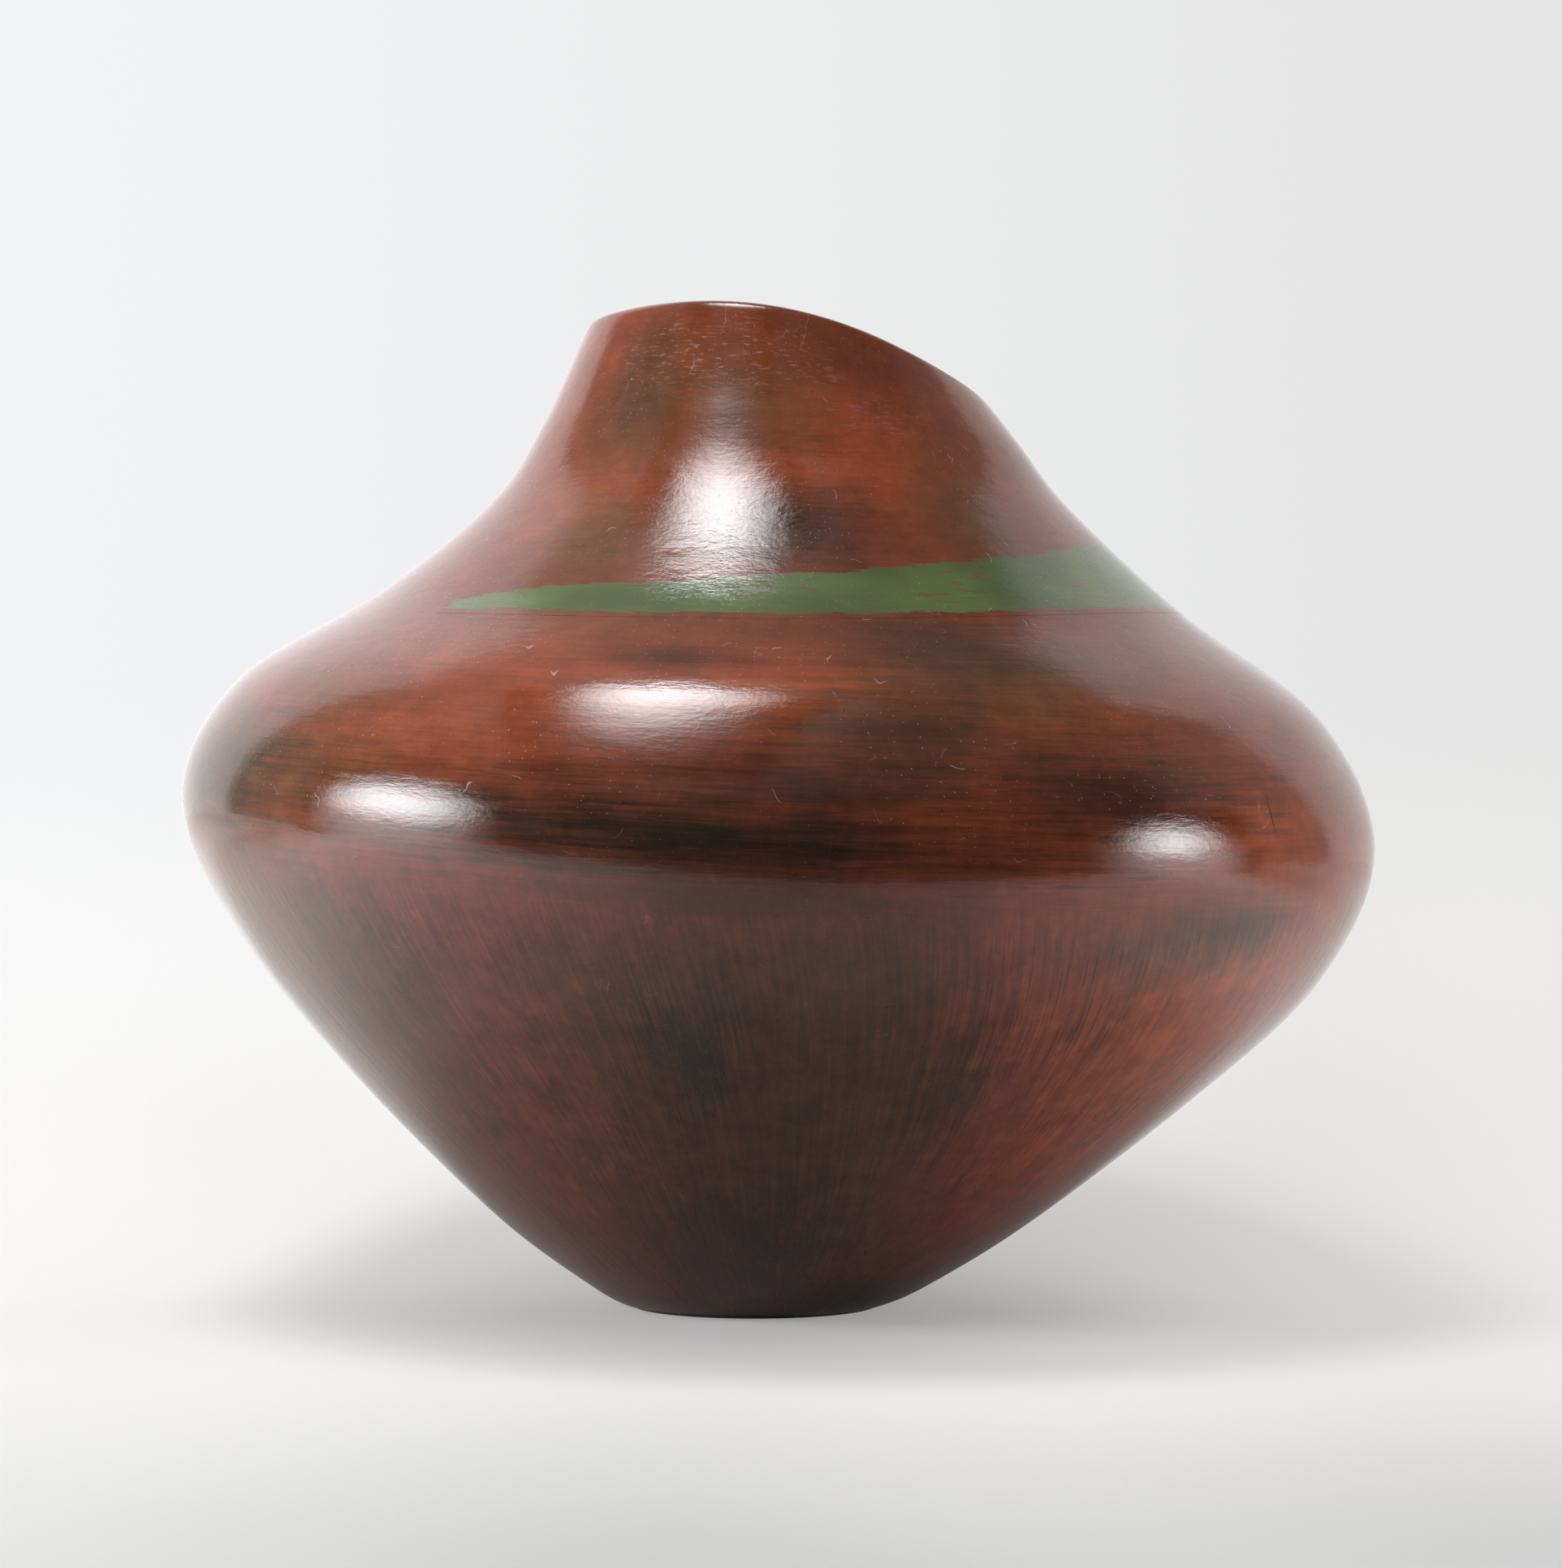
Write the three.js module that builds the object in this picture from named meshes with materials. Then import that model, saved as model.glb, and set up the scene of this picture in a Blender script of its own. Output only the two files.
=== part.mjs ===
// A hand-built pottery jar: leaning, wide in the belly, with a lip that climbs to one side and a band of
// green slip. All sizes are in millimetres, with +Z up. The origin is the middle of the flat foot, on the
// surface that the jar stands on, and -Y is the jar's front.
//
// The jar is raised in courses of coiled clay, each joined to the one below along a slanting seam. A coat of
// red slip, burnished with a stone, covers the outside and the lip, and the green band lies in a gap left in
// that coat. One skin of points runs from the foot up the outside, over the lip and down the inside to the
// floor. Every piece is made of stretches of that skin, so pieces that touch share the same corners.
import * as THREE from "three";

// The burnished surface passes through these rings, from the foot up. Each is a leaning circle: its radius,
// the rise of its middle above that of the ring below, how far its middle lies to the right of the foot's,
// and how much higher than its middle its left and front edges are.
const RINGS = {
  foot: { radius: 31.5, rise: 0, right: 0, leftRise: 0, frontRise: 0 },
  heel: { radius: 42.7, rise: 5.2, right: 1.2, leftRise: 0, frontRise: 0 },
  dish: { radius: 69.2, rise: 18.3, right: 2.2, leftRise: 1.0, frontRise: 0 },
  wall: { radius: 106.8, rise: 33.5, right: 4.9, leftRise: 3.0, frontRise: -2.0 },
  flank: { radius: 136.8, rise: 33.0, right: 6.7, leftRise: 5.5, frontRise: -5.0 },
  belly: { radius: 151.0, rise: 34.0, right: 6.0, leftRise: 6.5, frontRise: -8.0 },
  brow: { radius: 137.0, rise: 31.0, right: 6.0, leftRise: 5.0, frontRise: -6.0 },
  shoulder: { radius: 102.0, rise: 24.0, right: 7.0, leftRise: 3.0, frontRise: -3.0 },
  neck: { radius: 74.0, rise: 24.0, right: 6.7, leftRise: 1.2, frontRise: 1.0 },
  throat: { radius: 61.0, rise: 18.0, right: 7.0, leftRise: 3.0, frontRise: 4.0 },
  lip: { radius: 51.5, rise: 17.0, right: 8.5, leftRise: 10.0, frontRise: 8.0 },
};
const LIP_WAVES = 3; // shallow waves that the fingers left round the lip
const LIP_WAVE_HEIGHT = 1.3;
const LIP_WAVE_CREST = -90; // degrees round from the jar's right

const FLOOR_THICKNESS = 9;
const WALL_AT_FOOT = 7.5; // clay and slip together
const WALL_AT_LIP = 5;
const SEAM_LAP = 5; // how much higher each seam runs on the inside than on the outside
const RIM_HEIGHT = 18; // the last coil, from its seam up to the middle of the lip
const SLIP_THICKNESS = 0.5;
const SLIP_ABOVE_FOOT = 1; // the slip stops this far above the surface that the jar stands on
const SLIP_TURN_IN = 8; // how far the slip is carried over the lip and down the inside

// The green band goes round the jar's right side, tallest there, and thins towards two tips at the left.
const BAND_ABOVE_BROW = 17.5; // from the brow ring's middle up to the band's low edge, at front and back
const BAND_LOW_EDGE_RISE = 4.5; // how much higher that edge is at the jar's sides
const BAND_TALLEST = 18;
const BAND_NEAR_TIP = 4.8;
const BAND_TIP_HEIGHT = 1.5;
const BAND_TIP_ROUNDING = 14; // a higher power keeps the band full until nearer its tips
const BAND_HALF_SWEEP = 139; // degrees from the jar's right to each tip

// How finely the skin is faceted: columns round it, steps round the lip's edge, and the rows of facets that
// lead up to each named line.
const COLUMNS = 52;
const LIP_STEPS = 5;
const OUTER_ROWS = {
  foot: 1,
  slipFoot: 1,
  dish: 4,
  wall: 2,
  flank: 2,
  belly: 4,
  brow: 3,
  bandLow: 2,
  bandHigh: 1,
  neck: 2,
  rim: 1,
  lip: 2,
};
const INNER_ROWS = {
  lip: 1,
  turnIn: 1,
  rim: 1,
  neck: 1,
  bandLow: 2,
  brow: 2,
  belly: 2,
  flank: 3,
  wall: 2,
  dish: 2,
  floor: 2,
};

const PLACES = Object.fromEntries(Object.keys(RINGS).map((name, index) => [name, index]));
const STACK = [];
for (const ring of Object.values(RINGS)) {
  const below = STACK.at(-1)?.height ?? 0;
  STACK.push({ ...ring, height: below + ring.rise });
}
const RING_CURVES = Object.fromEntries(
  Object.keys(STACK[0]).map((size) => [
    size,
    new THREE.SplineCurve(STACK.map((ring, index) => new THREE.Vector2(index, ring[size]))),
  ]),
);

// A size of the rings at a place along them: 0 is the foot's ring, 1 the heel's, and so on.
function ringSize(size, place) {
  return RING_CURVES[size].getPoint(place / PLACES.lip).y;
}

// The wave of the lip, which dies out at the throat.
function lipWave(angle, place) {
  const share = Math.max(0, place - PLACES.throat);
  const crest = THREE.MathUtils.degToRad(LIP_WAVE_CREST);
  return LIP_WAVE_HEIGHT * share * share * Math.cos(LIP_WAVES * (angle - crest));
}

// The burnished surface at an angle round the jar, counter-clockwise from its right, and at a place along
// the rings.
function surface(angle, place) {
  const radius = ringSize("radius", place);
  const height = ringSize("height", place) + lipWave(angle, place);
  const lean = ringSize("leftRise", place) * Math.cos(angle) + ringSize("frontRise", place) * Math.sin(angle);
  return new THREE.Vector3(
    ringSize("right", place) + radius * Math.cos(angle),
    radius * Math.sin(angle),
    height - lean,
  );
}

// The direction up the surface, and how many millimetres of it one step from ring to ring covers.
function climb(angle, place) {
  const step = 1e-3;
  const low = Math.max(0, place - step);
  const high = Math.min(PLACES.lip, place + step);
  return surface(angle, high).sub(surface(angle, low)).divideScalar(high - low);
}

function outward(angle, place) {
  const step = 1e-3;
  const around = surface(angle + step, place).sub(surface(angle - step, place));
  return around.cross(climb(angle, place)).normalize();
}

function wallThickness(place) {
  return THREE.MathUtils.lerp(WALL_AT_FOOT, WALL_AT_LIP, place / PLACES.lip);
}

function innerSurface(angle, place) {
  return surface(angle, place).addScaledVector(outward(angle, place), -wallThickness(place));
}

// The place at which a rising line of points reaches a height, found by halving.
function placeAtHeight(line, height) {
  let low = 0;
  let high = PLACES.lip;
  while (high - low > 1e-7) {
    const middle = (low + high) / 2;
    if (line(middle).z < height) low = middle;
    else high = middle;
  }
  return low;
}

function bandHeight(angle) {
  const turned = Math.abs(Math.atan2(Math.sin(angle), Math.cos(angle)));
  const share = Math.min(1, turned / THREE.MathUtils.degToRad(BAND_HALF_SWEEP));
  const full = THREE.MathUtils.lerp(BAND_TALLEST, BAND_NEAR_TIP, share);
  return Math.max(BAND_TIP_HEIGHT, full * Math.sqrt(1 - share ** BAND_TIP_ROUNDING));
}

const bandLowEdge = (angle) =>
  STACK[PLACES.brow].height + BAND_ABOVE_BROW + BAND_LOW_EDGE_RISE * Math.cos(angle) ** 2;
const outerPlaceAt = (angle, height) => placeAtHeight((place) => surface(angle, place), height);
const innerPlaceAt = (angle, height) => placeAtHeight((place) => innerSurface(angle, place), height);
const lipHeight = (angle) => surface(angle, PLACES.lip).z;
const at = (name) => () => PLACES[name];

// Lines round the jar that the rows of the skin must follow, outside from the foot up and inside from the
// lip down. Most are seams between courses.
const outerPlaces = {
  foot: at("foot"),
  slipFoot: (angle) => outerPlaceAt(angle, SLIP_ABOVE_FOOT),
  dish: at("dish"),
  wall: at("wall"),
  flank: at("flank"),
  belly: at("belly"),
  brow: at("brow"),
  bandLow: (angle) => outerPlaceAt(angle, bandLowEdge(angle)),
  bandHigh: (angle) => outerPlaceAt(angle, bandLowEdge(angle) + bandHeight(angle)),
  neck: at("neck"),
  rim: (angle) => outerPlaceAt(angle, lipHeight(angle) - RIM_HEIGHT),
  lip: at("lip"),
};
const lapped = (name) => (angle) => {
  const place = outerPlaces[name](angle);
  return place + SEAM_LAP / climb(angle, place).length();
};
const innerPlaces = {
  lip: at("lip"),
  turnIn: (angle) => innerPlaceAt(angle, innerSurface(angle, PLACES.lip).z - SLIP_TURN_IN),
  rim: (angle) => innerPlaceAt(angle, lipHeight(angle) - RIM_HEIGHT + SEAM_LAP),
  neck: lapped("neck"),
  bandLow: lapped("bandLow"),
  brow: lapped("brow"),
  belly: lapped("belly"),
  flank: lapped("flank"),
  wall: lapped("wall"),
  dish: lapped("dish"),
  floor: (angle) => innerPlaceAt(angle, FLOOR_THICKNESS),
};

const ANGLES = Array.from({ length: COLUMNS }, (_, column) => (2 * Math.PI * column) / COLUMNS);

// The clay's skin as rings of points, each with the direction out of the clay there. outer and inner give
// the number of the ring that lies on each named line.
const skin = [];
const outer = {};
const inner = {};

function addRing(pointAt, outAt) {
  skin.push({ points: ANGLES.map(pointAt), out: ANGLES.map(outAt) });
}

function addRows(lines, rows, numbers, pointAt, outAt) {
  let from = null;
  for (const [name, placeAt] of Object.entries(lines)) {
    const to = ANGLES.map(placeAt);
    from ??= to;
    for (let row = 1; row <= rows[name]; row += 1) {
      const places = to.map((place, column) => THREE.MathUtils.lerp(from[column], place, row / rows[name]));
      addRing(
        (angle, column) => pointAt(angle, places[column]),
        (angle, column) => outAt(angle, places[column]),
      );
    }
    numbers[name] = skin.length - 1;
    from = to;
  }
}

const clayFace = (angle, place) =>
  surface(angle, place).addScaledVector(outward(angle, place), -SLIP_THICKNESS);

// The lip is rounded: half a turn about the middle of the wall's top, from the outer face to the inner one.
function lipFrame(angle) {
  const face = clayFace(angle, PLACES.lip);
  const back = innerSurface(angle, PLACES.lip);
  const out = outward(angle, PLACES.lip);
  const up = climb(angle, PLACES.lip);
  up.addScaledVector(out, -up.dot(out)).normalize();
  return { middle: face.clone().add(back).divideScalar(2), radius: face.distanceTo(back) / 2, out, up };
}

function lipDirection(angle, turn) {
  const { out, up } = lipFrame(angle);
  return out.multiplyScalar(Math.cos(turn)).addScaledVector(up, Math.sin(turn));
}

addRows(outerPlaces, OUTER_ROWS, outer, clayFace, outward);
for (let step = 1; step < LIP_STEPS; step += 1) {
  const turn = (Math.PI * step) / LIP_STEPS;
  addRing(
    (angle) => {
      const { middle, radius } = lipFrame(angle);
      return middle.addScaledVector(lipDirection(angle, turn), radius);
    },
    (angle) => lipDirection(angle, turn),
  );
}
addRows(innerPlaces, INNER_ROWS, inner, innerSurface, (angle, place) => outward(angle, place).negate());

// The foot's edge and the floor's edge are level.
for (const point of skin[outer.foot].points) point.z = 0;
for (const point of skin[inner.floor].points) point.z = FLOOR_THICKNESS;

const claySkin = skin.map((ring) => ring.points);
const slipSkin = skin.map((ring) =>
  ring.points.map((point, column) => point.clone().addScaledVector(ring.out[column], SLIP_THICKNESS)),
);

// Faces are gathered as corners, three to a triangle. A quad is split the same way from either side.
function addQuad(corners, a, b, c, d, forward) {
  if (forward) corners.push(a, b, c, a, c, d);
  else corners.push(a, c, b, a, d, c);
}

function addStrip(corners, low, high, forward) {
  low.forEach((point, column) => {
    const next = (column + 1) % low.length;
    addQuad(corners, point, low[next], high[next], high[column], forward);
  });
}

// A level disc: one triangle about its middle, and a fan on each side of that triangle.
function addDisc(corners, ring, facesUp) {
  const third = Math.round(ring.length / 3);
  const starts = [0, third, 2 * third, ring.length];
  const add = (a, b, c) => corners.push(...(facesUp ? [a, b, c] : [a, c, b]));
  add(ring[starts[0]], ring[starts[1]], ring[starts[2]]);
  for (let side = 0; side < 3; side += 1)
    for (let column = starts[side] + 1; column < starts[side + 1]; column += 1)
      add(ring[starts[side]], ring[column], ring[(column + 1) % ring.length]);
}

function geometryOf(corners) {
  const geometry = new THREE.BufferGeometry().setFromPoints(corners);
  geometry.computeVertexNormals();
  return geometry;
}

// A course of the wall between two seams. With no bottom seam it is the base, and with no top seam the rim.
function course(bottomSeam, topSeam) {
  const corners = [];
  const addSkin = (from, to) => {
    for (let row = from; row < to; row += 1) addStrip(corners, claySkin[row], claySkin[row + 1], true);
  };
  const addSeam = (name, forward) =>
    addStrip(corners, claySkin[outer[name]], claySkin[inner[name]], forward);
  if (topSeam) {
    addSkin(bottomSeam ? outer[bottomSeam] : outer.foot, outer[topSeam]);
    addSeam(topSeam, true);
    addSkin(inner[topSeam], bottomSeam ? inner[bottomSeam] : inner.floor);
  } else {
    addSkin(outer[bottomSeam], inner[bottomSeam]);
  }
  if (bottomSeam) {
    addSeam(bottomSeam, false);
  } else {
    addDisc(corners, claySkin[outer.foot], false);
    addDisc(corners, claySkin[inner.floor], true);
  }
  return geometryOf(corners);
}

// A piece of the slip: every cell of the skin for which isIn(row, column) holds, one slip's thickness deep.
function slipPiece(isIn) {
  const corners = [];
  for (let row = outer.slipFoot; row < inner.turnIn; row += 1)
    for (let column = 0; column < COLUMNS; column += 1) {
      if (!isIn(row, column)) continue;
      const next = (column + 1) % COLUMNS;
      const last = (column + COLUMNS - 1) % COLUMNS;
      const addFace = (grid, forward) =>
        addQuad(
          corners,
          grid[row][column],
          grid[row][next],
          grid[row + 1][next],
          grid[row + 1][column],
          forward,
        );
      const addRowEdge = (edge, forward) =>
        addQuad(
          corners,
          slipSkin[edge][column],
          slipSkin[edge][next],
          claySkin[edge][next],
          claySkin[edge][column],
          forward,
        );
      const addColumnEdge = (edge, forward) =>
        addQuad(
          corners,
          slipSkin[row][edge],
          slipSkin[row + 1][edge],
          claySkin[row + 1][edge],
          claySkin[row][edge],
          forward,
        );
      addFace(slipSkin, true);
      addFace(claySkin, false);
      if (!isIn(row - 1, column)) addRowEdge(row, false);
      if (!isIn(row + 1, column)) addRowEdge(row + 1, true);
      if (!isIn(row, last)) addColumnEdge(column, true);
      if (!isIn(row, next)) addColumnEdge(next, false);
    }
  return geometryOf(corners);
}

const BAND_COLUMNS = Math.round((COLUMNS * BAND_HALF_SWEEP) / 360);
const inBand = (row, column) =>
  row >= outer.bandLow &&
  row < outer.bandHigh &&
  (column < BAND_COLUMNS || column >= COLUMNS - BAND_COLUMNS);
const inCoat = (row, column) => row >= outer.slipFoot && row < inner.turnIn && !inBand(row, column);

const bareClay = new THREE.MeshStandardMaterial({ color: 0x6a4634, roughness: 0.9, metalness: 0 });
const redSlip = new THREE.MeshStandardMaterial({ color: 0x7d3a26, roughness: 0.25, metalness: 0 });
const greenSlip = new THREE.MeshStandardMaterial({ color: 0x3f5e33, roughness: 0.3, metalness: 0 });

const jar = new THREE.Group();

function addPiece(name, geometry, material) {
  const mesh = new THREE.Mesh(geometry, material);
  mesh.name = name;
  jar.add(mesh);
}

addPiece("base", course(null, "dish"), bareClay);
addPiece("lower_wall", course("dish", "wall"), bareClay);
addPiece("upper_wall", course("wall", "flank"), bareClay);
addPiece("lower_belly", course("flank", "belly"), bareClay);
addPiece("upper_belly", course("belly", "brow"), bareClay);
addPiece("lower_shoulder", course("brow", "bandLow"), bareClay);
addPiece("upper_shoulder", course("bandLow", "neck"), bareClay);
addPiece("neck", course("neck", "rim"), bareClay);
addPiece("rim", course("rim", null), bareClay);
addPiece("red_slip_coat", slipPiece(inCoat), redSlip);
addPiece("green_slip_band", slipPiece(inBand), greenSlip);

export default jar;
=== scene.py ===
import math

import bpy
import mathutils
import numpy as np
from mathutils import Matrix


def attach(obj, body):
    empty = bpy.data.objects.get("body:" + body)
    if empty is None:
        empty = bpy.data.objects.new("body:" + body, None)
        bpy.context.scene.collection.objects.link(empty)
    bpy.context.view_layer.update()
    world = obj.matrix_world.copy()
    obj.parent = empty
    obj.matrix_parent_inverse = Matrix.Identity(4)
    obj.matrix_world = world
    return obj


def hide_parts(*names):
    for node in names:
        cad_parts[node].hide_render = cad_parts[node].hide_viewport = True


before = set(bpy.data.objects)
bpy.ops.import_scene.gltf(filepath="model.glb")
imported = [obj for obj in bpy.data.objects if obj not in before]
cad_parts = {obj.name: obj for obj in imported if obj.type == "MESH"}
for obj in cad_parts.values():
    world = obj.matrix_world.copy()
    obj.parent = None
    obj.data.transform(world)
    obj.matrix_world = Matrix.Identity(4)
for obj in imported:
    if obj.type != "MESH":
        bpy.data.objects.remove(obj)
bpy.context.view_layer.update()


# Camera. It stands level, 1.165 m in front of the jar's foot and a little above the middle of the jar's
# height, with a long lens, as the photograph was taken. Lengths are metres, +Z is up and -Y is the front.
PHOTO_HEIGHT_PX = 1932
FOCAL_LENGTH_PX = 5627
SENSOR_HEIGHT_MM = 36
CAMERA_PLACE = (0.0067, -1.165, 0.1328)

lens = bpy.data.cameras.new("camera")
lens.sensor_fit = "VERTICAL"
lens.sensor_height = SENSOR_HEIGHT_MM
lens.lens = SENSOR_HEIGHT_MM * FOCAL_LENGTH_PX / PHOTO_HEIGHT_PX
camera = bpy.data.objects.new("camera", lens)
camera.location = CAMERA_PLACE
camera.rotation_euler = (math.radians(90), 0, 0)
bpy.context.scene.collection.objects.link(camera)
bpy.context.scene.camera = camera
bpy.context.scene.view_settings.view_transform = "Standard"


# Clay courses. The jar is raised in nine courses of coiled earthenware, scraped and smoothed. Each is joined
# to the one below along a slanting seam and fused to it in the firing. Bare clay shows inside and below.
RINGS = {  # radius, height, how far the middle lies to the right, and the rise of the left and front edges
    "foot": (0.0315, 0.0000, 0.0000, 0.0000, 0.0000),
    "heel": (0.0427, 0.0052, 0.0012, 0.0000, 0.0000),
    "dish": (0.0692, 0.0235, 0.0022, 0.0010, 0.0000),
    "wall": (0.1068, 0.0570, 0.0049, 0.0030, -0.0020),
    "flank": (0.1368, 0.0900, 0.0067, 0.0055, -0.0050),
    "belly": (0.1510, 0.1240, 0.0060, 0.0065, -0.0080),
    "brow": (0.1370, 0.1550, 0.0060, 0.0050, -0.0060),
    "shoulder": (0.1020, 0.1790, 0.0070, 0.0030, -0.0030),
    "neck": (0.0740, 0.2030, 0.0067, 0.0012, 0.0010),
    "throat": (0.0610, 0.2210, 0.0070, 0.0030, 0.0040),
    "lip": (0.0515, 0.2380, 0.0085, 0.0100, 0.0080),
}
LIP_WAVES = 3
LIP_WAVE_HEIGHT = 0.0013
LIP_WAVE_CREST = math.radians(-90)
FLOOR_THICKNESS = 0.009
WALL_AT_FOOT = 0.0075
WALL_AT_LIP = 0.005
SLIP_THICKNESS = 0.0005
SEAM_LAP = 0.005
RIM_HEIGHT = 0.018
FOOT_ROUNDING = 0.0008
COLUMNS = 288
ROW_HEIGHT = 0.002
HALVINGS = 30
SHARP_ANGLE = math.radians(35)
ANGLES = np.arange(COLUMNS) * 2 * math.pi / COLUMNS  # counter-clockwise from the jar's right
PLACES = {name: place for place, name in enumerate(RINGS)}
RING_SIZES = np.array(list(RINGS.values()))
THROAT = PLACES["throat"]
LIP = PLACES["lip"]
LIP_RADIUS = (WALL_AT_LIP + SLIP_THICKNESS) / 2
LIP_ARC = math.pi * LIP_RADIUS


def ring_sizes(place):
    """The five sizes of a ring at a place along the named ones, on one smooth curve through them."""
    below = np.clip(np.floor(place).astype(int), 0, LIP - 1)
    share = (place - below)[..., None]
    last, low, high, after = (RING_SIZES[np.clip(below + step, 0, LIP)] for step in (-1, 0, 1, 2))
    leave = (high - last) / 2
    arrive = (after - low) / 2
    cubic = 2 * low - 2 * high + leave + arrive
    square = 3 * high - 3 * low - 2 * leave - arrive
    return ((cubic * share + square) * share + leave) * share + low


def burnished_face(angle, place):
    """The jar's outer surface, before the marks of the hand."""
    radius, height, right, left_rise, front_rise = np.moveaxis(ring_sizes(place), -1, 0)
    near_lip = np.maximum(0, place - THROAT)
    wave = LIP_WAVE_HEIGHT * near_lip**2 * np.cos(LIP_WAVES * (angle - LIP_WAVE_CREST))
    lean = left_rise * np.cos(angle) + front_rise * np.sin(angle)
    x = right + radius * np.cos(angle)
    return np.stack([x, radius * np.sin(angle), height + wave - lean], axis=-1)


def directions(angle, place):
    """The unit directions out of the surface and up along it."""
    step = 1e-3
    low = np.maximum(0, place - step)
    high = np.minimum(LIP, place + step)
    around = burnished_face(angle + step, place) - burnished_face(angle - step, place)
    up = burnished_face(angle, high) - burnished_face(angle, low)
    out = np.cross(around, up)
    out /= np.linalg.norm(out, axis=-1, keepdims=True)
    up -= (up * out).sum(-1, keepdims=True) * out
    up /= np.linalg.norm(up, axis=-1, keepdims=True)
    return out, up


# The hand leaves the wall a little uneven: broad, shallow dents that only ever go inwards.
DENT_DEPTH = 0.0003
DENT_LENGTHS = (0.035, 0.09)
DENT_WAVES = 14
rng = np.random.default_rng(11)
dent_ways = rng.normal(size=(DENT_WAVES, 3))
dent_ways /= np.linalg.norm(dent_ways, axis=1, keepdims=True)
dent_ways *= 2 * math.pi / rng.uniform(*DENT_LENGTHS, size=(DENT_WAVES, 1))
dent_starts = rng.uniform(0, 2 * math.pi, DENT_WAVES)


def dent(points):
    """How deep the dents are at each point, from 0 to their full depth."""
    waves = np.cos(points @ dent_ways.T + dent_starts).sum(-1) / math.sqrt(DENT_WAVES)
    return DENT_DEPTH * (1 + np.clip(waves / 2, -1, 1)) / 2


def all_round(value):
    """A value for each column of points, from one for all of them or one for each."""
    return np.broadcast_to(np.asarray(value, float), ANGLES.shape)


def outer_ring(place, depth):
    """A ring of points on the outside, at a depth under the burnished face. place may differ by column."""
    place = all_round(place)
    points = burnished_face(ANGLES, place)
    out, _ = directions(ANGLES, place)
    return points - out * (dent(points) + depth)[:, None]


def inner_ring(place, height):
    """A ring on the inside, at a height above the clay's inner face. The wall thins evenly up to the lip."""
    wall = WALL_AT_FOOT + (WALL_AT_LIP - WALL_AT_FOOT) * all_round(place) / LIP
    return outer_ring(place, wall + height)


def lip_ring(turn, depth):
    """A ring on the rounded lip: turn runs from 0 at its outer face to half a turn at its inner face."""
    place = all_round(LIP)
    points = burnished_face(ANGLES, place)
    out, up = directions(ANGLES, place)
    middle = points - out * (dent(points) + LIP_RADIUS)[:, None]
    return middle + (LIP_RADIUS - depth) * (out * math.cos(turn) + up * math.sin(turn))


def halved(height_at, heights, shape):
    """The places at which rising lines of points reach given heights, found by halving."""
    low = np.zeros(shape)
    high = np.full(shape, float(LIP))
    for _ in range(HALVINGS):
        middle = (low + high) / 2
        under = height_at(middle) < heights
        low = np.where(under, middle, low)
        high = np.where(under, high, middle)
    return low


def place_at(ring_at, height):
    """For each column, the place at which its line of points up the jar reaches a height."""
    return halved(lambda place: ring_at(place)[:, 2], height, COLUMNS)


CLIMB_SAMPLES = 401
CLIMB_PLACES = np.linspace(0, LIP, CLIMB_SAMPLES)
mean_line = ring_sizes(CLIMB_PLACES)[:, :2]
CLIMBS = np.concatenate([[0], np.cumsum(np.linalg.norm(np.diff(mean_line, axis=0), axis=1))])
LIP_CLIMB = CLIMBS[-1]


def climb_at(place):
    """How far up the skin a place lies, measured along the jar's mean outline from the foot's edge."""
    return np.interp(place, CLIMB_PLACES, CLIMBS)


def stretch(first, last):
    """Places in even rows from one line round the jar to another, both included."""
    reach = np.abs(climb_at(last) - climb_at(first)).max()
    rows = max(2, math.ceil(reach / ROW_HEIGHT) + 1)
    return np.linspace(all_round(first), all_round(last), rows)


def new_piece(name, points, faces, material):
    mesh = bpy.data.meshes.new(name)
    mesh.from_pydata(points.tolist(), [], faces)
    mesh.shade_smooth()
    mesh.materials.append(material)
    piece = bpy.data.objects.new(name, mesh)
    bpy.context.scene.collection.objects.link(piece)
    return piece


def lay_out(piece, turns, climbs):
    """Strokes and fire clouds are laid out by the turn round the jar and the climb up its skin."""
    piece.data.set_sharp_from_angle(angle=SHARP_ANGLE)
    lay = piece.data.attributes.new("lay", "FLOAT_VECTOR", "POINT")
    values = np.stack([np.cos(turns), np.sin(turns), climbs], axis=-1)
    lay.data.foreach_set("vector", values.ravel())


def ring_mesh(name, rings, climbs, is_loop, material):
    """A closed mesh from rings of points. Its section is a loop, or else both end rings are capped."""
    index = np.arange(len(rings) * COLUMNS).reshape(-1, COLUMNS)
    low = index if is_loop else index[:-1]
    high = np.roll(index, -1, axis=0) if is_loop else index[1:]
    corners = [low, np.roll(low, -1, axis=1), np.roll(high, -1, axis=1), high]
    faces = np.stack([corner.ravel() for corner in corners], axis=1).tolist()
    if not is_loop:
        faces += [index[0][::-1].tolist(), index[-1].tolist()]
    piece = new_piece(name, np.concatenate(rings), faces, material)
    climbs = np.stack([all_round(climb) for climb in climbs])
    lay_out(piece, np.broadcast_to(ANGLES, climbs.shape), climbs)
    return piece


def add_node(tree, kind, inputs=None, **settings):
    """A new node, set up first. Each input is a value, or the output socket that is linked to it."""
    made = tree.nodes.new(kind)
    for name, value in settings.items():
        setattr(made, name, value)
    for socket, value in (inputs or {}).items():
        if isinstance(value, bpy.types.NodeSocket):
            tree.links.new(value, made.inputs[socket])
        else:
            made.inputs[socket].default_value = value
    return made


def maths(tree, operation, first, second=0.0):
    return add_node(tree, "ShaderNodeMath", {0: first, 1: second}, operation=operation).outputs[0]


def plus(tree, first, second):
    return maths(tree, "ADD", first, second)


def minus(tree, first, second):
    return maths(tree, "SUBTRACT", first, second)


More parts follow.
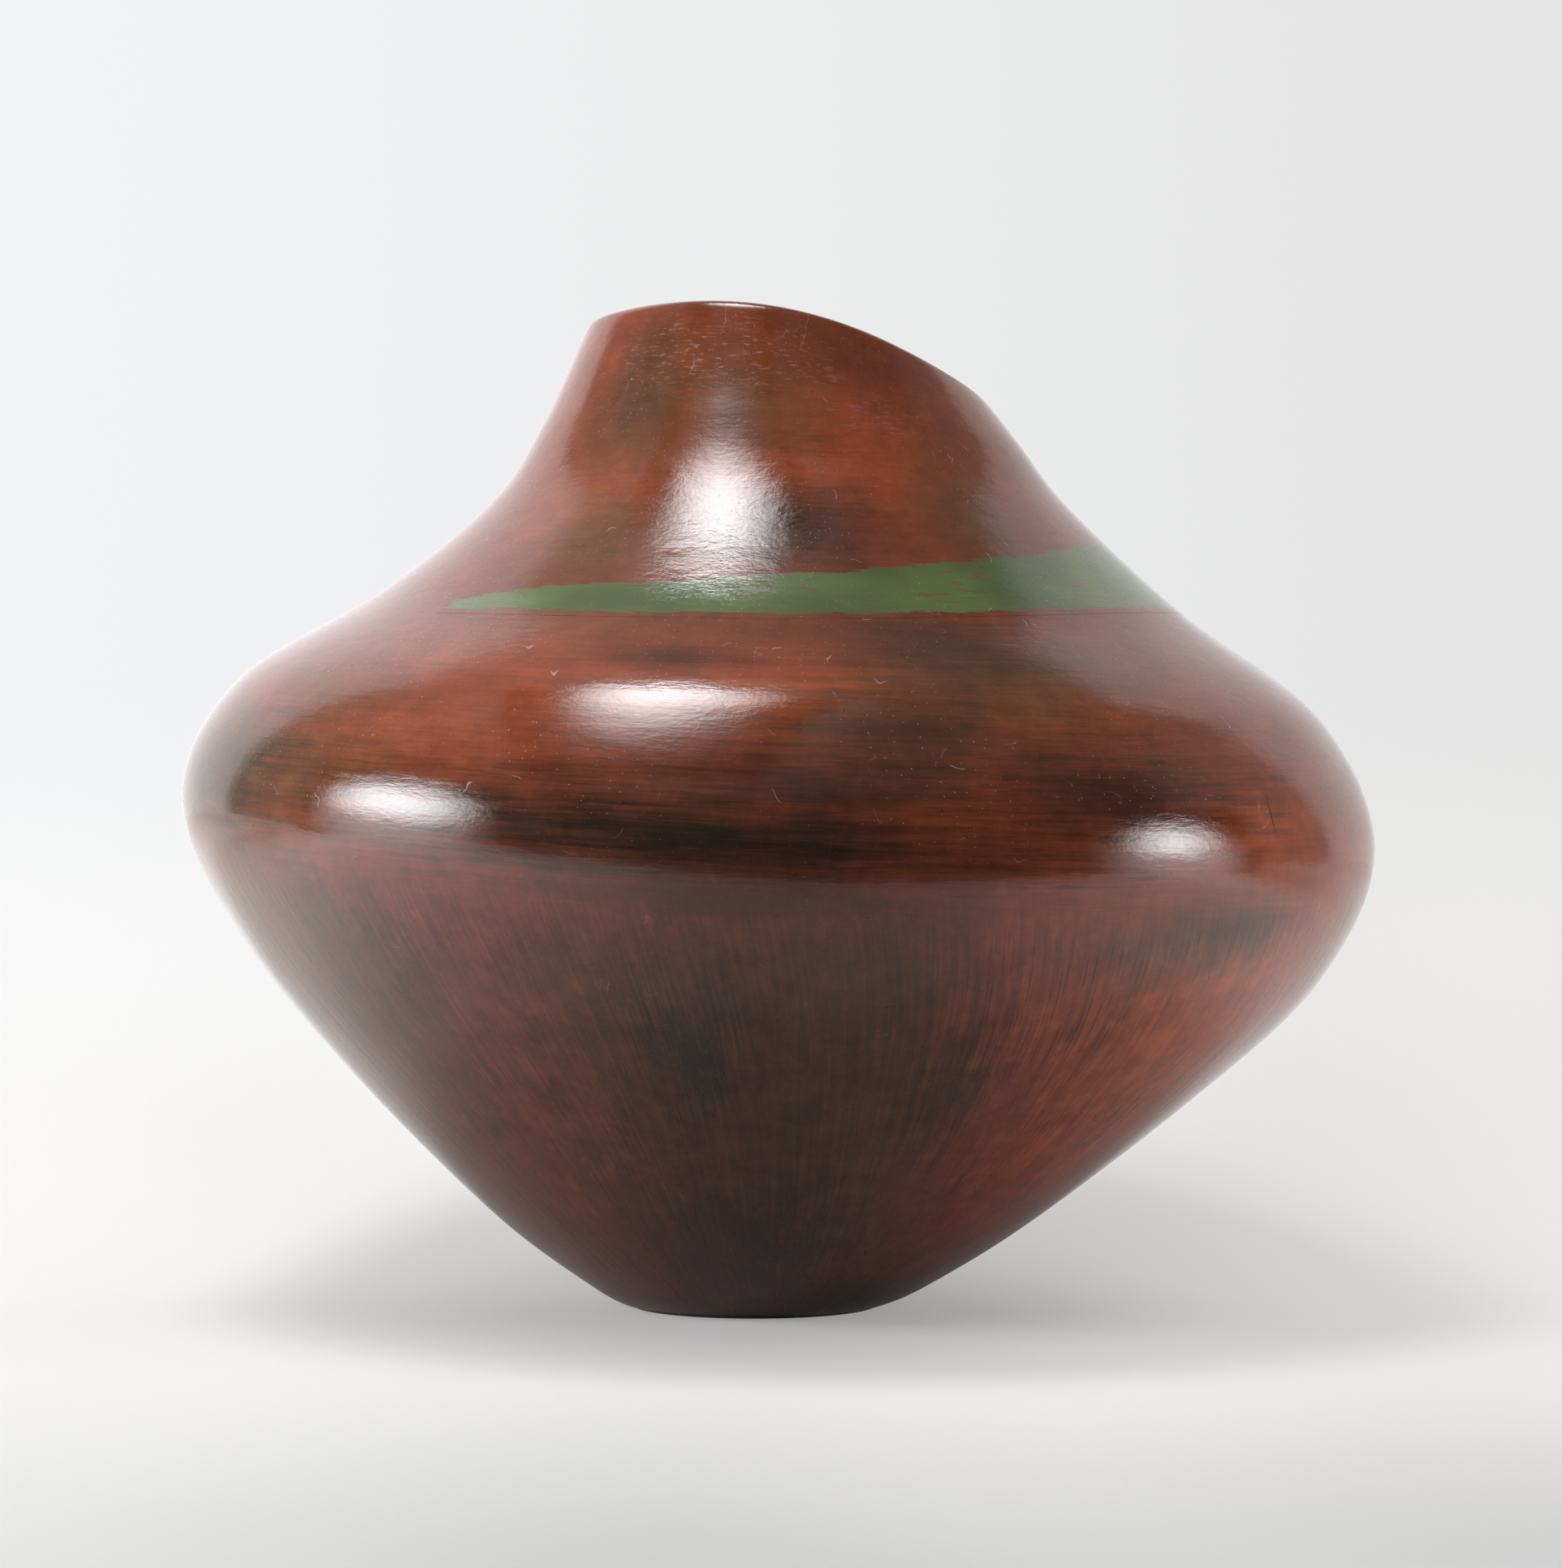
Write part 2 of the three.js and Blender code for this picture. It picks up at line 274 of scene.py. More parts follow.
def times(tree, first, second):
    return maths(tree, "MULTIPLY", first, second)


def ramp(tree, value, low, high, to_low=0.0, to_high=1.0):
    """A soft step of a value between two limits."""
    inputs = {"Value": value, "From Min": low, "From Max": high, "To Min": to_low, "To Max": to_high}
    return add_node(tree, "ShaderNodeMapRange", inputs, interpolation_type="SMOOTHSTEP").outputs["Result"]


def mix_colour(tree, share, first, second, blend="MIX"):
    inputs = {0: share, 6: first, 7: second}
    return add_node(tree, "ShaderNodeMix", inputs, data_type="RGBA", blend_type=blend).outputs[2]


def noise(tree, place, scale, detail=3.0, roughness=0.5, distortion=0.0):
    inputs = {"Vector": place, "Scale": scale, "Detail": detail, "Roughness": roughness}
    inputs["Distortion"] = distortion
    return add_node(tree, "ShaderNodeTexNoise", inputs).outputs["Fac"]


def stretched(tree, place, factors):
    made = add_node(tree, "ShaderNodeVectorMath", {0: place, 1: factors}, operation="MULTIPLY")
    return made.outputs["Vector"]


def skin_noise(tree, lay, around, up, **look):
    """Noise laid out on the skin, with so many spots in a radian round the jar and in a metre up it."""
    return noise(tree, stretched(tree, lay, (around, around, up)), 1.0, **look)


def new_group(name, inputs, outputs):
    """A shader node group with named sockets. Returns its tree, its inputs' sockets and its output node."""
    tree = bpy.data.node_groups.new(name, "ShaderNodeTree")
    for socket, (kind, default) in inputs.items():
        made = tree.interface.new_socket(socket, in_out="INPUT", socket_type=kind)
        made.default_value = default
    for socket, kind in outputs.items():
        tree.interface.new_socket(socket, in_out="OUTPUT", socket_type=kind)
    entry = tree.nodes.new("NodeGroupInput")
    exit_node = tree.nodes.new("NodeGroupOutput")
    return tree, entry.outputs, exit_node


def use_group(tree, group, **inputs):
    return add_node(tree, "ShaderNodeGroup", inputs, node_tree=group).outputs


def new_material(name):
    material = bpy.data.materials.new(name)
    material.use_nodes = True
    tree = material.node_tree
    return material, tree, tree.nodes["Principled BSDF"]


def finish_material(tree, shader, colour, roughness, height, depth):
    """Feeds a material's colour and roughness, and its fine relief of a depth in metres."""
    tree.links.new(colour, shader.inputs["Base Color"])
    tree.links.new(roughness, shader.inputs["Roughness"])
    bump = add_node(tree, "ShaderNodeBump", {"Height": height, "Strength": 1.0, "Distance": depth})
    tree.links.new(bump.outputs["Normal"], shader.inputs["Normal"])


BARE_CLAY = (0.30, 0.150, 0.095, 1)
SMOKED_CLAY = (0.105, 0.060, 0.043, 1)
GRIT = (0.52, 0.40, 0.30, 1)
CLAY_ROUGHNESS = (0.72, 0.92)
CLAY_RELIEF = 0.0004

fired_clay, clay_tree, clay_shader = new_material("fired_clay")
lay_of_clay = add_node(clay_tree, "ShaderNodeAttribute", attribute_name="lay").outputs["Vector"]
clay_space = add_node(clay_tree, "ShaderNodeTexCoord").outputs["Object"]
wiping = skin_noise(clay_tree, lay_of_clay, around=3.0, up=260.0, detail=5.0, roughness=0.6)
smoking = ramp(clay_tree, noise(clay_tree, clay_space, scale=14.0), 0.42, 0.66)
grain = noise(clay_tree, clay_space, scale=900.0, detail=4.0, roughness=0.65)
grit_cells = add_node(clay_tree, "ShaderNodeTexVoronoi", {"Vector": clay_space, "Scale": 420.0})
grit = ramp(clay_tree, grit_cells.outputs["Distance"], 0.20, 0.12)
clay_colour = mix_colour(clay_tree, smoking, BARE_CLAY, SMOKED_CLAY)
clay_colour = mix_colour(clay_tree, times(clay_tree, wiping, 0.5), clay_colour, SMOKED_CLAY)
clay_colour = mix_colour(clay_tree, times(clay_tree, grit, 0.35), clay_colour, GRIT)
clay_roughness = ramp(clay_tree, grain, 0.2, 0.8, *CLAY_ROUGHNESS)
clay_height = plus(clay_tree, wiping, times(clay_tree, grain, 0.5))
finish_material(clay_tree, clay_shader, clay_colour, clay_roughness, clay_height, CLAY_RELIEF)

SEAMS = ("dish", "wall", "flank", "belly", "brow", "band_low", "neck", "rim")
COURSES = (
    "base",
    "lower_wall",
    "upper_wall",
    "lower_belly",
    "upper_belly",
    "lower_shoulder",
    "upper_shoulder",
    "neck",
    "rim",
)
BAND_ABOVE_BROW = 0.0175  # from the brow ring's middle up to the green band's low edge
BAND_LOW_EDGE_RISE = 0.0045  # how much higher that edge is at the jar's sides


def band_low_edge(angle):
    return RINGS["brow"][1] + BAND_ABOVE_BROW + BAND_LOW_EDGE_RISE * np.cos(angle) ** 2


def clay_outside(place):
    return outer_ring(place, SLIP_THICKNESS)


def clay_inside(place):
    return inner_ring(place, 0)


lip_height = burnished_face(ANGLES, all_round(LIP))[:, 2]
outer_seams = {name: all_round(PLACES[name]) for name in SEAMS if name in PLACES}
outer_seams["band_low"] = place_at(clay_outside, band_low_edge(ANGLES))
outer_seams["rim"] = place_at(clay_outside, lip_height - RIM_HEIGHT)
inner_seams = {
    name: np.interp(climb_at(seam) + SEAM_LAP, CLIMBS, CLIMB_PLACES) for name, seam in outer_seams.items()
}
inner_seams["rim"] = place_at(clay_inside, lip_height - RIM_HEIGHT + SEAM_LAP)
inner_floor = place_at(clay_inside, FLOOR_THICKNESS)


INNERMOST_SHARE = 0.02  # of the way out from the middle
UNDER_FOOT_ROWS = 12
FLOOR_ROWS = 16
LIP_STEPS = 16
FOOT_EDGE_PLACE = 0.02  # a little above the foot ring, where the foot's rounded edge ends
UNDER_FOOT_CLIMB = -0.001
SEAM_SHARES = (0.25, 0.5, 0.75)  # each of the way that is left to the inside


def level_disc(edge, height, rows):
    """Rings from near the middle out to an edge, all at one height."""
    middle = edge.mean(0)
    rings = []
    for share in np.linspace(INNERMOST_SHARE, 1, rows, endpoint=False):
        ring = middle + (edge - middle) * share
        ring[:, 2] = height
        rings.append(ring)
    return rings


def lip_rows(steps, depth):
    turns = [math.pi * step / steps for step in range(1, steps)]
    return [lip_ring(turn, depth) for turn in turns], [LIP_CLIMB + turn * LIP_RADIUS for turn in turns]


def clay_course(name, bottom, top):
    """One course between two seams. The base has no bottom seam and the rim has no top seam."""
    rings = []
    climbs = []
    first = outer_seams[bottom] if bottom else FOOT_EDGE_PLACE
    if not bottom:
        edge = outer_ring(0.0, SLIP_THICKNESS + FOOT_ROUNDING)
        rings += level_disc(edge, 0.0, UNDER_FOOT_ROWS)
        edge[:, 2] = 0.0
        rings.append(edge)
        climbs += [UNDER_FOOT_CLIMB] * len(rings)
    for place in stretch(first, outer_seams[top] if top else LIP):
        rings.append(clay_outside(place))
        climbs.append(climb_at(place))
    if top:
        inside = clay_inside(inner_seams[top])
        for share in SEAM_SHARES:
            rings.append(rings[-1] + (inside - rings[-1]) * share)
            climbs.append(climbs[-1])
    else:
        lip_rings, lip_climbs = lip_rows(LIP_STEPS, SLIP_THICKNESS)
        rings += lip_rings
        climbs += lip_climbs
    last = inner_seams[bottom] if bottom else inner_floor
    for place in stretch(inner_seams[top] if top else LIP, last):
        rings.append(clay_inside(place))
        climbs.append(2 * LIP_CLIMB + LIP_ARC - climb_at(place))
    if not bottom:
        rings[-1][:, 2] = FLOOR_THICKNESS
        rings += level_disc(rings[-1], FLOOR_THICKNESS, FLOOR_ROWS)[::-1]
        climbs += [climbs[-1] + ROW_HEIGHT * row for row in range(1, FLOOR_ROWS + 1)]
    return ring_mesh(name, rings, climbs, bool(bottom), fired_clay)


for number, name in enumerate(COURSES):
    bottom = SEAMS[number - 1] if number else None
    top = SEAMS[number] if number < len(SEAMS) else None
    course = clay_course(f"{name}_clay", bottom, top)
    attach(course, "root")
    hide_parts(name)


# Red slip coat. Fine red clay was brushed over the outside, the lip and a little way down the inside, and
# rubbed with a stone until it shone. The firing clouded it dark where smoke and fuel touched it.
SLIP_ABOVE_FOOT = 0.0004
SLIP_TURN_IN = 0.008
TURN_IN_WAVES = ((3, 0.0006, 0.4), (7, 0.0004, 2.1), (17, 0.00025, 1.2))  # count round, height, start
SLIP_EDGE = 0.00008
SLIP_EDGE_ROWS = 3


def turn_in_line():
    """The uneven line inside the neck at which the brush left off."""
    lip_inside = clay_inside(LIP)[:, 2]
    waves = sum(height * np.cos(count * ANGLES + start) for count, height, start in TURN_IN_WAVES)
    return place_at(clay_inside, lip_inside - SLIP_TURN_IN + waves)


def edge_depth(row, rows):
    """How far the slip's face lies under its full height, thinning over the last rows to its edge."""
    share = max(0, 1 - (rows - 1 - row) / SLIP_EDGE_ROWS)
    return (SLIP_THICKNESS - SLIP_EDGE) * share**2


def slip_coat():
    outside = stretch(place_at(lambda place: outer_ring(place, 0), SLIP_ABOVE_FOOT), LIP)
    inside = stretch(LIP, turn_in_line())
    lip_face, lip_climbs = lip_rows(LIP_STEPS, 0)
    lip_back, _ = lip_rows(LIP_STEPS, SLIP_THICKNESS)
    last = len(outside) - 1
    face = [outer_ring(place, edge_depth(last - row, last + 1)) for row, place in enumerate(outside)]
    face += lip_face
    rows = len(inside)
    face += [inner_ring(place, SLIP_THICKNESS - edge_depth(row, rows)) for row, place in enumerate(inside)]
    back = [clay_outside(place) for place in outside] + lip_back + [clay_inside(place) for place in inside]
    climbs = [climb_at(place) for place in outside] + lip_climbs
    climbs += [2 * LIP_CLIMB + LIP_ARC - climb_at(place) for place in inside]
    return face + back[::-1], climbs + climbs[::-1]


def larger(tree, first, second):
    return maths(tree, "MAXIMUM", first, second)


def grey(tree, value):
    return add_node(tree, "ShaderNodeCombineColor", {part: value for part in range(3)}).outputs[0]


def dimmed(tree, colour, share):
    return mix_colour(tree, 1.0, colour, grey(tree, share), "MULTIPLY")


def blended(tree, share, first, second):
    return add_node(tree, "ShaderNodeMix", {0: share, 2: first, 3: second}).outputs[0]


def turn_from_front(tree, parts):
    """Degrees round the jar from its front, more to the right, of a place given by its X, Y and Z."""
    turn = maths(tree, "ARCTAN2", parts["X"], times(tree, parts["Y"], -1.0))
    return times(tree, turn, math.degrees(1))


def build_strokes_group():
    """The tone of rubbing strokes, and a mask of the scattered dark ones. Around and Up are how many strokes
    lie in a radian round the jar and in a metre up its skin."""
    inputs = {
        "Lay": ("NodeSocketVector", (0, 0, 0)),
        "Around": ("NodeSocketFloat", 8.0),
        "Up": ("NodeSocketFloat", 450.0),
    }
    outputs = {"Tone": "NodeSocketFloat", "Dark": "NodeSocketFloat"}
    tree, given, result = new_group("rubbing_strokes", inputs, outputs)
    scale = add_node(tree, "ShaderNodeCombineXYZ", {0: given["Around"], 1: given["Around"], 2: given["Up"]})
    place = stretched(tree, given["Lay"], scale.outputs[0])
    broad = noise(tree, place, scale=0.35, detail=2.0, distortion=0.2)
    fine = noise(tree, place, scale=1.0, detail=4.0, roughness=0.7, distortion=0.3)
    mixed = plus(tree, times(tree, broad, 0.4), times(tree, fine, 0.6))
    tree.links.new(ramp(tree, mixed, 0.3, 0.7), result.inputs["Tone"])
    scattered = noise(tree, place, scale=0.6, roughness=0.62, distortion=0.2)
    bunched = skin_noise(tree, given["Lay"], around=3.0, up=34.0, roughness=0.6)
    dark = times(tree, ramp(tree, scattered, 0.51, 0.63), ramp(tree, bunched, 0.40, 0.60))
    tree.links.new(dark, result.inputs["Dark"])
    return tree


PATCH_REACH = 1.6  # half sizes of a patch from its middle to the end of its soft edge


def build_patch_group():
    """The mask of one patch on the skin: 1 inside, 0 outside, with a ragged, soft edge."""
    inputs = {
        "Turn": ("NodeSocketFloat", 0.0),
        "Climb": ("NodeSocketFloat", 0.0),
        "Ragged": ("NodeSocketFloat", 0.5),
        "Middle Turn": ("NodeSocketFloat", 0.0),
        "Middle Climb": ("NodeSocketFloat", 0.0),
        "Half Sweep": ("NodeSocketFloat", 10.0),
        "Half Climb": ("NodeSocketFloat", 0.01),
        "Strength": ("NodeSocketFloat", 1.0),
    }
    tree, given, result = new_group("skin_patch", inputs, {"Mask": "NodeSocketFloat"})
    across = minus(tree, given["Turn"], given["Middle Turn"])
    up = minus(tree, given["Climb"], given["Middle Climb"])
    across = maths(tree, "DIVIDE", across, given["Half Sweep"])
    up = maths(tree, "DIVIDE", up, given["Half Climb"])
    squares = plus(tree, times(tree, across, across), times(tree, up, up))
    reach = plus(tree, maths(tree, "SQRT", squares), given["Ragged"])
    mask = ramp(tree, reach, PATCH_REACH, 0.0)
    tree.links.new(times(tree, mask, given["Strength"]), result.inputs["Mask"])
    return tree


SKIN_RADIUS = 0.12  # metres: the jar's mean radius, by which a turn round it is a length along its skin
DOT_CORE = 0.6  # the share of a dot's radius in which it is full
DUSTY_CLIMBS = (0.165, 0.20)  # metres up the skin, between which the dust grows to the whole
DUST_BELOW = 0.2  # the share of it that clings under the belly


def build_dust_group():
    """Specks of dust and short curls of lint that settled on the skin, and small pits in it."""
    inputs = {"Turn": ("NodeSocketFloat", 0.0), "Climb": ("NodeSocketFloat", 0.0)}
    outputs = {"Dust": "NodeSocketFloat", "Pits": "NodeSocketFloat"}
    tree, given, result = new_group("dust_and_pits", inputs, outputs)
    across = times(tree, given["Turn"], math.radians(SKIN_RADIUS))
    flat = add_node(tree, "ShaderNodeCombineXYZ", {0: across, 1: given["Climb"]}).outputs[0]

    def dots(per_metre, radius, left_out):
        """Round spots, each in a cell of its own, of which a share is left out."""
        inputs = {"Vector": flat, "Scale": per_metre}
        cells = add_node(tree, "ShaderNodeTexVoronoi", inputs, voronoi_dimensions="2D")
        reach = radius * per_metre
        spot = ramp(tree, cells.outputs["Distance"], reach, reach * DOT_CORE)
        chance = add_node(tree, "ShaderNodeSeparateColor", {0: cells.outputs["Color"]}).outputs[0]
        return times(tree, spot, ramp(tree, chance, left_out, 1.0))

    coarse_specks = dots(per_metre=170.0, radius=0.00016, left_out=0.5)
    fine_specks = dots(per_metre=390.0, radius=0.00013, left_out=0.3)
    scattered = noise(tree, flat, scale=28.0, roughness=0.6)
    scattered = ramp(tree, scattered, 0.40, 0.62, 0.12, 1.0)
    specks = times(tree, larger(tree, coarse_specks, fine_specks), scattered)
    line = noise(tree, flat, scale=170.0, detail=1.0, roughness=0.3, distortion=0.3)
    thread = ramp(tree, maths(tree, "ABSOLUTE", minus(tree, line, 0.5)), 0.009, 0.003)
    lint = times(tree, thread, dots(per_metre=85.0, radius=0.0021, left_out=0.35))
    settled = ramp(tree, given["Climb"], *DUSTY_CLIMBS, DUST_BELOW, 1.0)
    both = larger(tree, specks, times(tree, lint, 0.6))
    tree.links.new(times(tree, both, settled), result.inputs["Dust"])
    pits = dots(per_metre=62.0, radius=0.00035, left_out=0.55)
    tree.links.new(pits, result.inputs["Pits"])
    return tree


rubbing_strokes = build_strokes_group()
skin_patch = build_patch_group()
dust_and_pits = build_dust_group()

BRICK = (0.178, 0.042, 0.018, 1)
EMBER = (0.325, 0.066, 0.022, 1)
UMBER = (0.112, 0.028, 0.015, 1)
OLIVE = (0.118, 0.055, 0.022, 1)
SMOKE = (0.028, 0.018, 0.012, 1)
DUST = (0.62, 0.52, 0.45, 1)
SCRATCH = (0.36, 0.21, 0.20, 1)
MOTTLE_DEPTH = 0.17  # how far, as a share, the skin's tone wanders to both sides
STROKE_ROUGHNESS = (0.05, 0.08)  # of the darkest and of the lightest strokes
GRAIN_ROUGHNESS = 0.09  # what the grain adds, and what dust adds
DUST_ROUGHNESS = 0.4
SKIN_RELIEF = 0.000048  # metres: the depth of the facets that the rubbing stone left
STROKE_RELIEF = 0.22  # shares of that depth: of the strokes, of the grain, and of pits and the crack
GRAIN_RELIEF = 0.30
SUNK_RELIEF = 0.8

# How many strokes lie in a radian round the jar and in a metre up its skin. Above the belly they run round
# it, and below they lean up and down it. Facets are the broad flats that many strokes leave side by side.
LEVEL_STROKES = {"Around": 7.0, "Up": 1050.0}
UPRIGHT_STROKES = {"Around": 220.0, "Up": 58.0}
LEVEL_FACETS = {"Around": 11.0, "Up": 240.0}
UPRIGHT_FACETS = {"Around": 45.0, "Up": 50.0}
STROKE_LEAN = 0.9  # radians for each metre up the skin

# Pairs of climbs up the skin, in metres, between which one look gives way to another.
UPRIGHT_TO_LEVEL = (0.155, 0.176)
BRIGHT_TO_DULL = (0.178, 0.150)
BELLY_TO_NECK = (0.20, 0.24)
SHOULDER_CLIMBS = (0.19, 0.22)
BACK_TURNS = (75.0, 100.0)  # degrees round from the front, between which the front's patches give way

# Patches that show on the front: degrees round from the front (right is positive), climb up the skin from
# the foot, half the sweep in degrees, half the climb, and strength.
SMOKE_PATCHES = {
    "neck": (3, 0.279, 15, 0.015, 0.85),
    "neck_left": (-37, 0.316, 10, 0.014, 0.4),
    "neck_top": (20, 0.325, 20, 0.006, 0.25),
    "shoulder_fleck": (-13, 0.230, 10, 0.0050, 0.7),
    "shoulder_right": (18, 0.236, 15, 0.015, 0.52),
    "brow": (12, 0.208, 11, 0.012, 0.55),
    "belly_front": (-10, 0.181, 34, 0.013, 1.0),
    "belly_middle": (4, 0.194, 20, 0.009, 0.75),
    "belly_right": (31, 0.194, 15, 0.013, 0.8),
    "belly_far_left": (-70, 0.186, 22, 0.019, 0.7),
    "under_belly_right": (47, 0.161, 10, 0.008, 0.7),
    "under_belly_front": (-4, 0.167, 20, 0.009, 0.6),
    "flank_front": (-1, 0.105, 26, 0.080, 0.62),
    "flank_bunch_left": (-9, 0.118, 8, 0.034, 1.0),
    "flank_bunch_right": (20, 0.108, 7, 0.036, 0.8),
    "flank_left": (-48, 0.135, 18, 0.05, 0.5),
    "foot_front": (-3, 0.044, 24, 0.044, 0.75),
    "foot_right": (38, 0.012, 22, 0.014, 0.8),
}
EMBER_PATCHES = {
    "shoulder_left": (-23, 0.224, 25, 0.024, 0.7),
    "shoulder_front": (3, 0.221, 16, 0.017, 1.0),
    "shoulder_right": (28, 0.214, 18, 0.012, 0.7),
    "neck_left": (-36, 0.284, 14, 0.020, 0.6),
    "neck_right": (9, 0.300, 24, 0.024, 1.0),
    "belly_front": (17, 0.191, 9, 0.011, 0.6),
    "belly_right": (51, 0.184, 12, 0.012, 1.0),
    "belly_left": (-33, 0.204, 14, 0.014, 0.5),
    "flank_right": (54, 0.112, 34, 0.085, 1.0),
    "flank_middle": (26, 0.130, 12, 0.055, 0.6),
}
OLIVE_PATCHES = {
    "neck_left": (-31, 0.273, 12, 0.018, 0.8),
    "neck_right": (36, 0.282, 12, 0.018, 0.85),
    "neck_front": (-8, 0.311, 18, 0.011, 0.75),
    "neck_high_left": (-34, 0.312, 13, 0.018, 0.8),
    "shoulder_left": (-15, 0.246, 24, 0.010, 0.4),
    "shoulder_right": (24, 0.226, 18, 0.022, 0.8),
    "brow_front": (13, 0.210, 13, 0.014, 0.6),
    "brow_left": (-52, 0.211, 12, 0.012, 0.5),
    "belly_left": (-60, 0.190, 20, 0.015, 0.95),
    "flank_left": (-58, 0.130, 14, 0.050, 0.7),
    "flank_front": (6, 0.100, 12, 0.045, 0.5),
    "flank_right": (38, 0.156, 12, 0.010, 0.7),
}
RIM_SCRATCHES = {"front": (-15, 0.324, 26, 0.0075, 0.9), "right": (20, 0.312, 12, 0.005, 0.6)}
CRACKS = {"belly_right": (51.0, 0.1883, 0.13, 0.0045, 0.95)}
PATCH_SIZES = ("Middle Turn", "Middle Climb", "Half Sweep", "Half Climb", "Strength")


def patches(tree, turn, climb, ragged, places):
    """The strongest of several patches at each point."""
    strongest = 0.0
    for sizes in places.values():
        placed = dict(zip(PATCH_SIZES, sizes))
        patch = use_group(tree, skin_patch, Turn=turn, Climb=climb, Ragged=ragged, **placed)
        strongest = larger(tree, patch["Mask"], strongest)
    return strongest


def build_red_slip_group():
    """The colour, roughness and relief of the burnished red slip all over the jar."""
    outputs = {"Colour": "NodeSocketColor"}
    outputs |= {name: "NodeSocketFloat" for name in ("Roughness", "Height", "Dust")}
    tree, _, result = new_group("red_slip_look", {}, outputs)
    lay = add_node(tree, "ShaderNodeAttribute", attribute_name="lay").outputs["Vector"]
    space = add_node(tree, "ShaderNodeTexCoord").outputs["Object"]
    parts = add_node(tree, "ShaderNodeSeparateXYZ", {0: lay}).outputs
    climb = parts["Z"]
    turn = turn_from_front(tree, parts)
    inputs = {"Vector": lay, "Angle": times(tree, climb, STROKE_LEAN)}
    leaning = add_node(tree, "ShaderNodeVectorRotate", inputs, rotation_type="Z_AXIS").outputs[0]
    level = use_group(tree, rubbing_strokes, Lay=lay, **LEVEL_STROKES)
    upright = use_group(tree, rubbing_strokes, Lay=leaning, **UPRIGHT_STROKES)
    level_facets = use_group(tree, rubbing_strokes, Lay=lay, **LEVEL_FACETS)
    upright_facets = use_group(tree, rubbing_strokes, Lay=leaning, **UPRIGHT_FACETS)
    above = ramp(tree, climb, *UPRIGHT_TO_LEVEL)
    streaks = blended(tree, above, upright["Tone"], level["Tone"])
    dark = blended(tree, above, upright["Dark"], level["Dark"])
    facets = blended(tree, above, upright_facets["Tone"], level_facets["Tone"])

    wander = skin_noise(tree, lay, around=1.6, up=16.0, roughness=0.55, distortion=0.4)
    blotches = skin_noise(tree, lay, around=7.0, up=75.0, detail=4.0, roughness=0.6, distortion=0.5)
    ragged = times(tree, minus(tree, blotches, 0.5), 1.3)
    grained = minus(tree, streaks, 0.5)
    low = ramp(tree, climb, *BRIGHT_TO_DULL)
    stroke_share = ramp(tree, climb, *BELLY_TO_NECK, 0.62, 0.3)
    stroke_share = plus(tree, stroke_share, times(tree, low, 0.20))
    streaky = plus(tree, ragged, times(tree, grained, stroke_share))
    ragged = plus(tree, ragged, times(tree, grained, 0.35))
    behind = ramp(tree, maths(tree, "ABSOLUTE", turn), *BACK_TURNS)

    ember = patches(tree, turn, climb, ragged, EMBER_PATCHES)
    ember_behind = times(tree, ramp(tree, wander, 0.46, 0.68, 0.0, 0.5), behind)
    ember = larger(tree, ember, ember_behind)
    ember = times(tree, ember, ramp(tree, streaks, 0.0, 1.0, 0.65, 1.0))
    olive = patches(tree, turn, climb, ragged, OLIVE_PATCHES)

    smoke = patches(tree, turn, climb, streaky, SMOKE_PATCHES)
    uneven = minus(tree, wander, times(tree, ragged, 0.14))
    smoke = larger(tree, smoke, times(tree, ramp(tree, uneven, 0.56, 0.30), behind))
    dark_share = ramp(tree, climb, *SHOULDER_CLIMBS, 0.60, 0.16)
    dark_share = times(tree, dark_share, ramp(tree, ember, 0.3, 1.0, 1.0, 0.5))
    smoke = larger(tree, smoke, times(tree, dark, dark_share))

    ground_colour = mix_colour(tree, low, BRICK, UMBER)
    colour = mix_colour(tree, ember, ground_colour, EMBER)
    colour = mix_colour(tree, olive, colour, OLIVE)
    colour = mix_colour(tree, smoke, colour, SMOKE)
    mottle = noise(tree, space, scale=100.0, detail=6.0, roughness=0.75)
    mottle = ramp(tree, mottle, 0.3, 0.7, -MOTTLE_DEPTH, MOTTLE_DEPTH)
    mottle = times(tree, mottle, ramp(tree, climb, *BRIGHT_TO_DULL, 0.9, 1.5))
    depth_of_tone = ramp(tree, climb, *BELLY_TO_NECK, 0.21, 0.14)
    depth_of_tone = plus(tree, depth_of_tone, times(tree, low, 0.02))
    tone = plus(tree, 1.0, times(tree, grained, depth_of_tone))
    tone = times(tree, tone, plus(tree, 1.0, mottle))
    colour = dimmed(tree, colour, tone)

    # Thin pale scratches lie level below the lip, and a hair crack runs down the belly at the right.
    nicks = skin_noise(tree, lay, around=17.0, up=1900.0, roughness=0.65)
    near_rim = patches(tree, turn, climb, ragged, RIM_SCRATCHES)
    scratches = times(tree, ramp(tree, nicks, 0.55, 0.66), near_rim)
    colour = mix_colour(tree, times(tree, scratches, 0.7), colour, SCRATCH)
    settled = use_group(tree, dust_and_pits, Turn=turn, Climb=climb)
    crack = patches(tree, turn, climb, 0.0, CRACKS)
    sunk = larger(tree, crack, times(tree, settled["Pits"], 0.8))
    colour = mix_colour(tree, sunk, colour, SMOKE)
    colour = mix_colour(tree, times(tree, settled["Dust"], 0.55), colour, DUST)

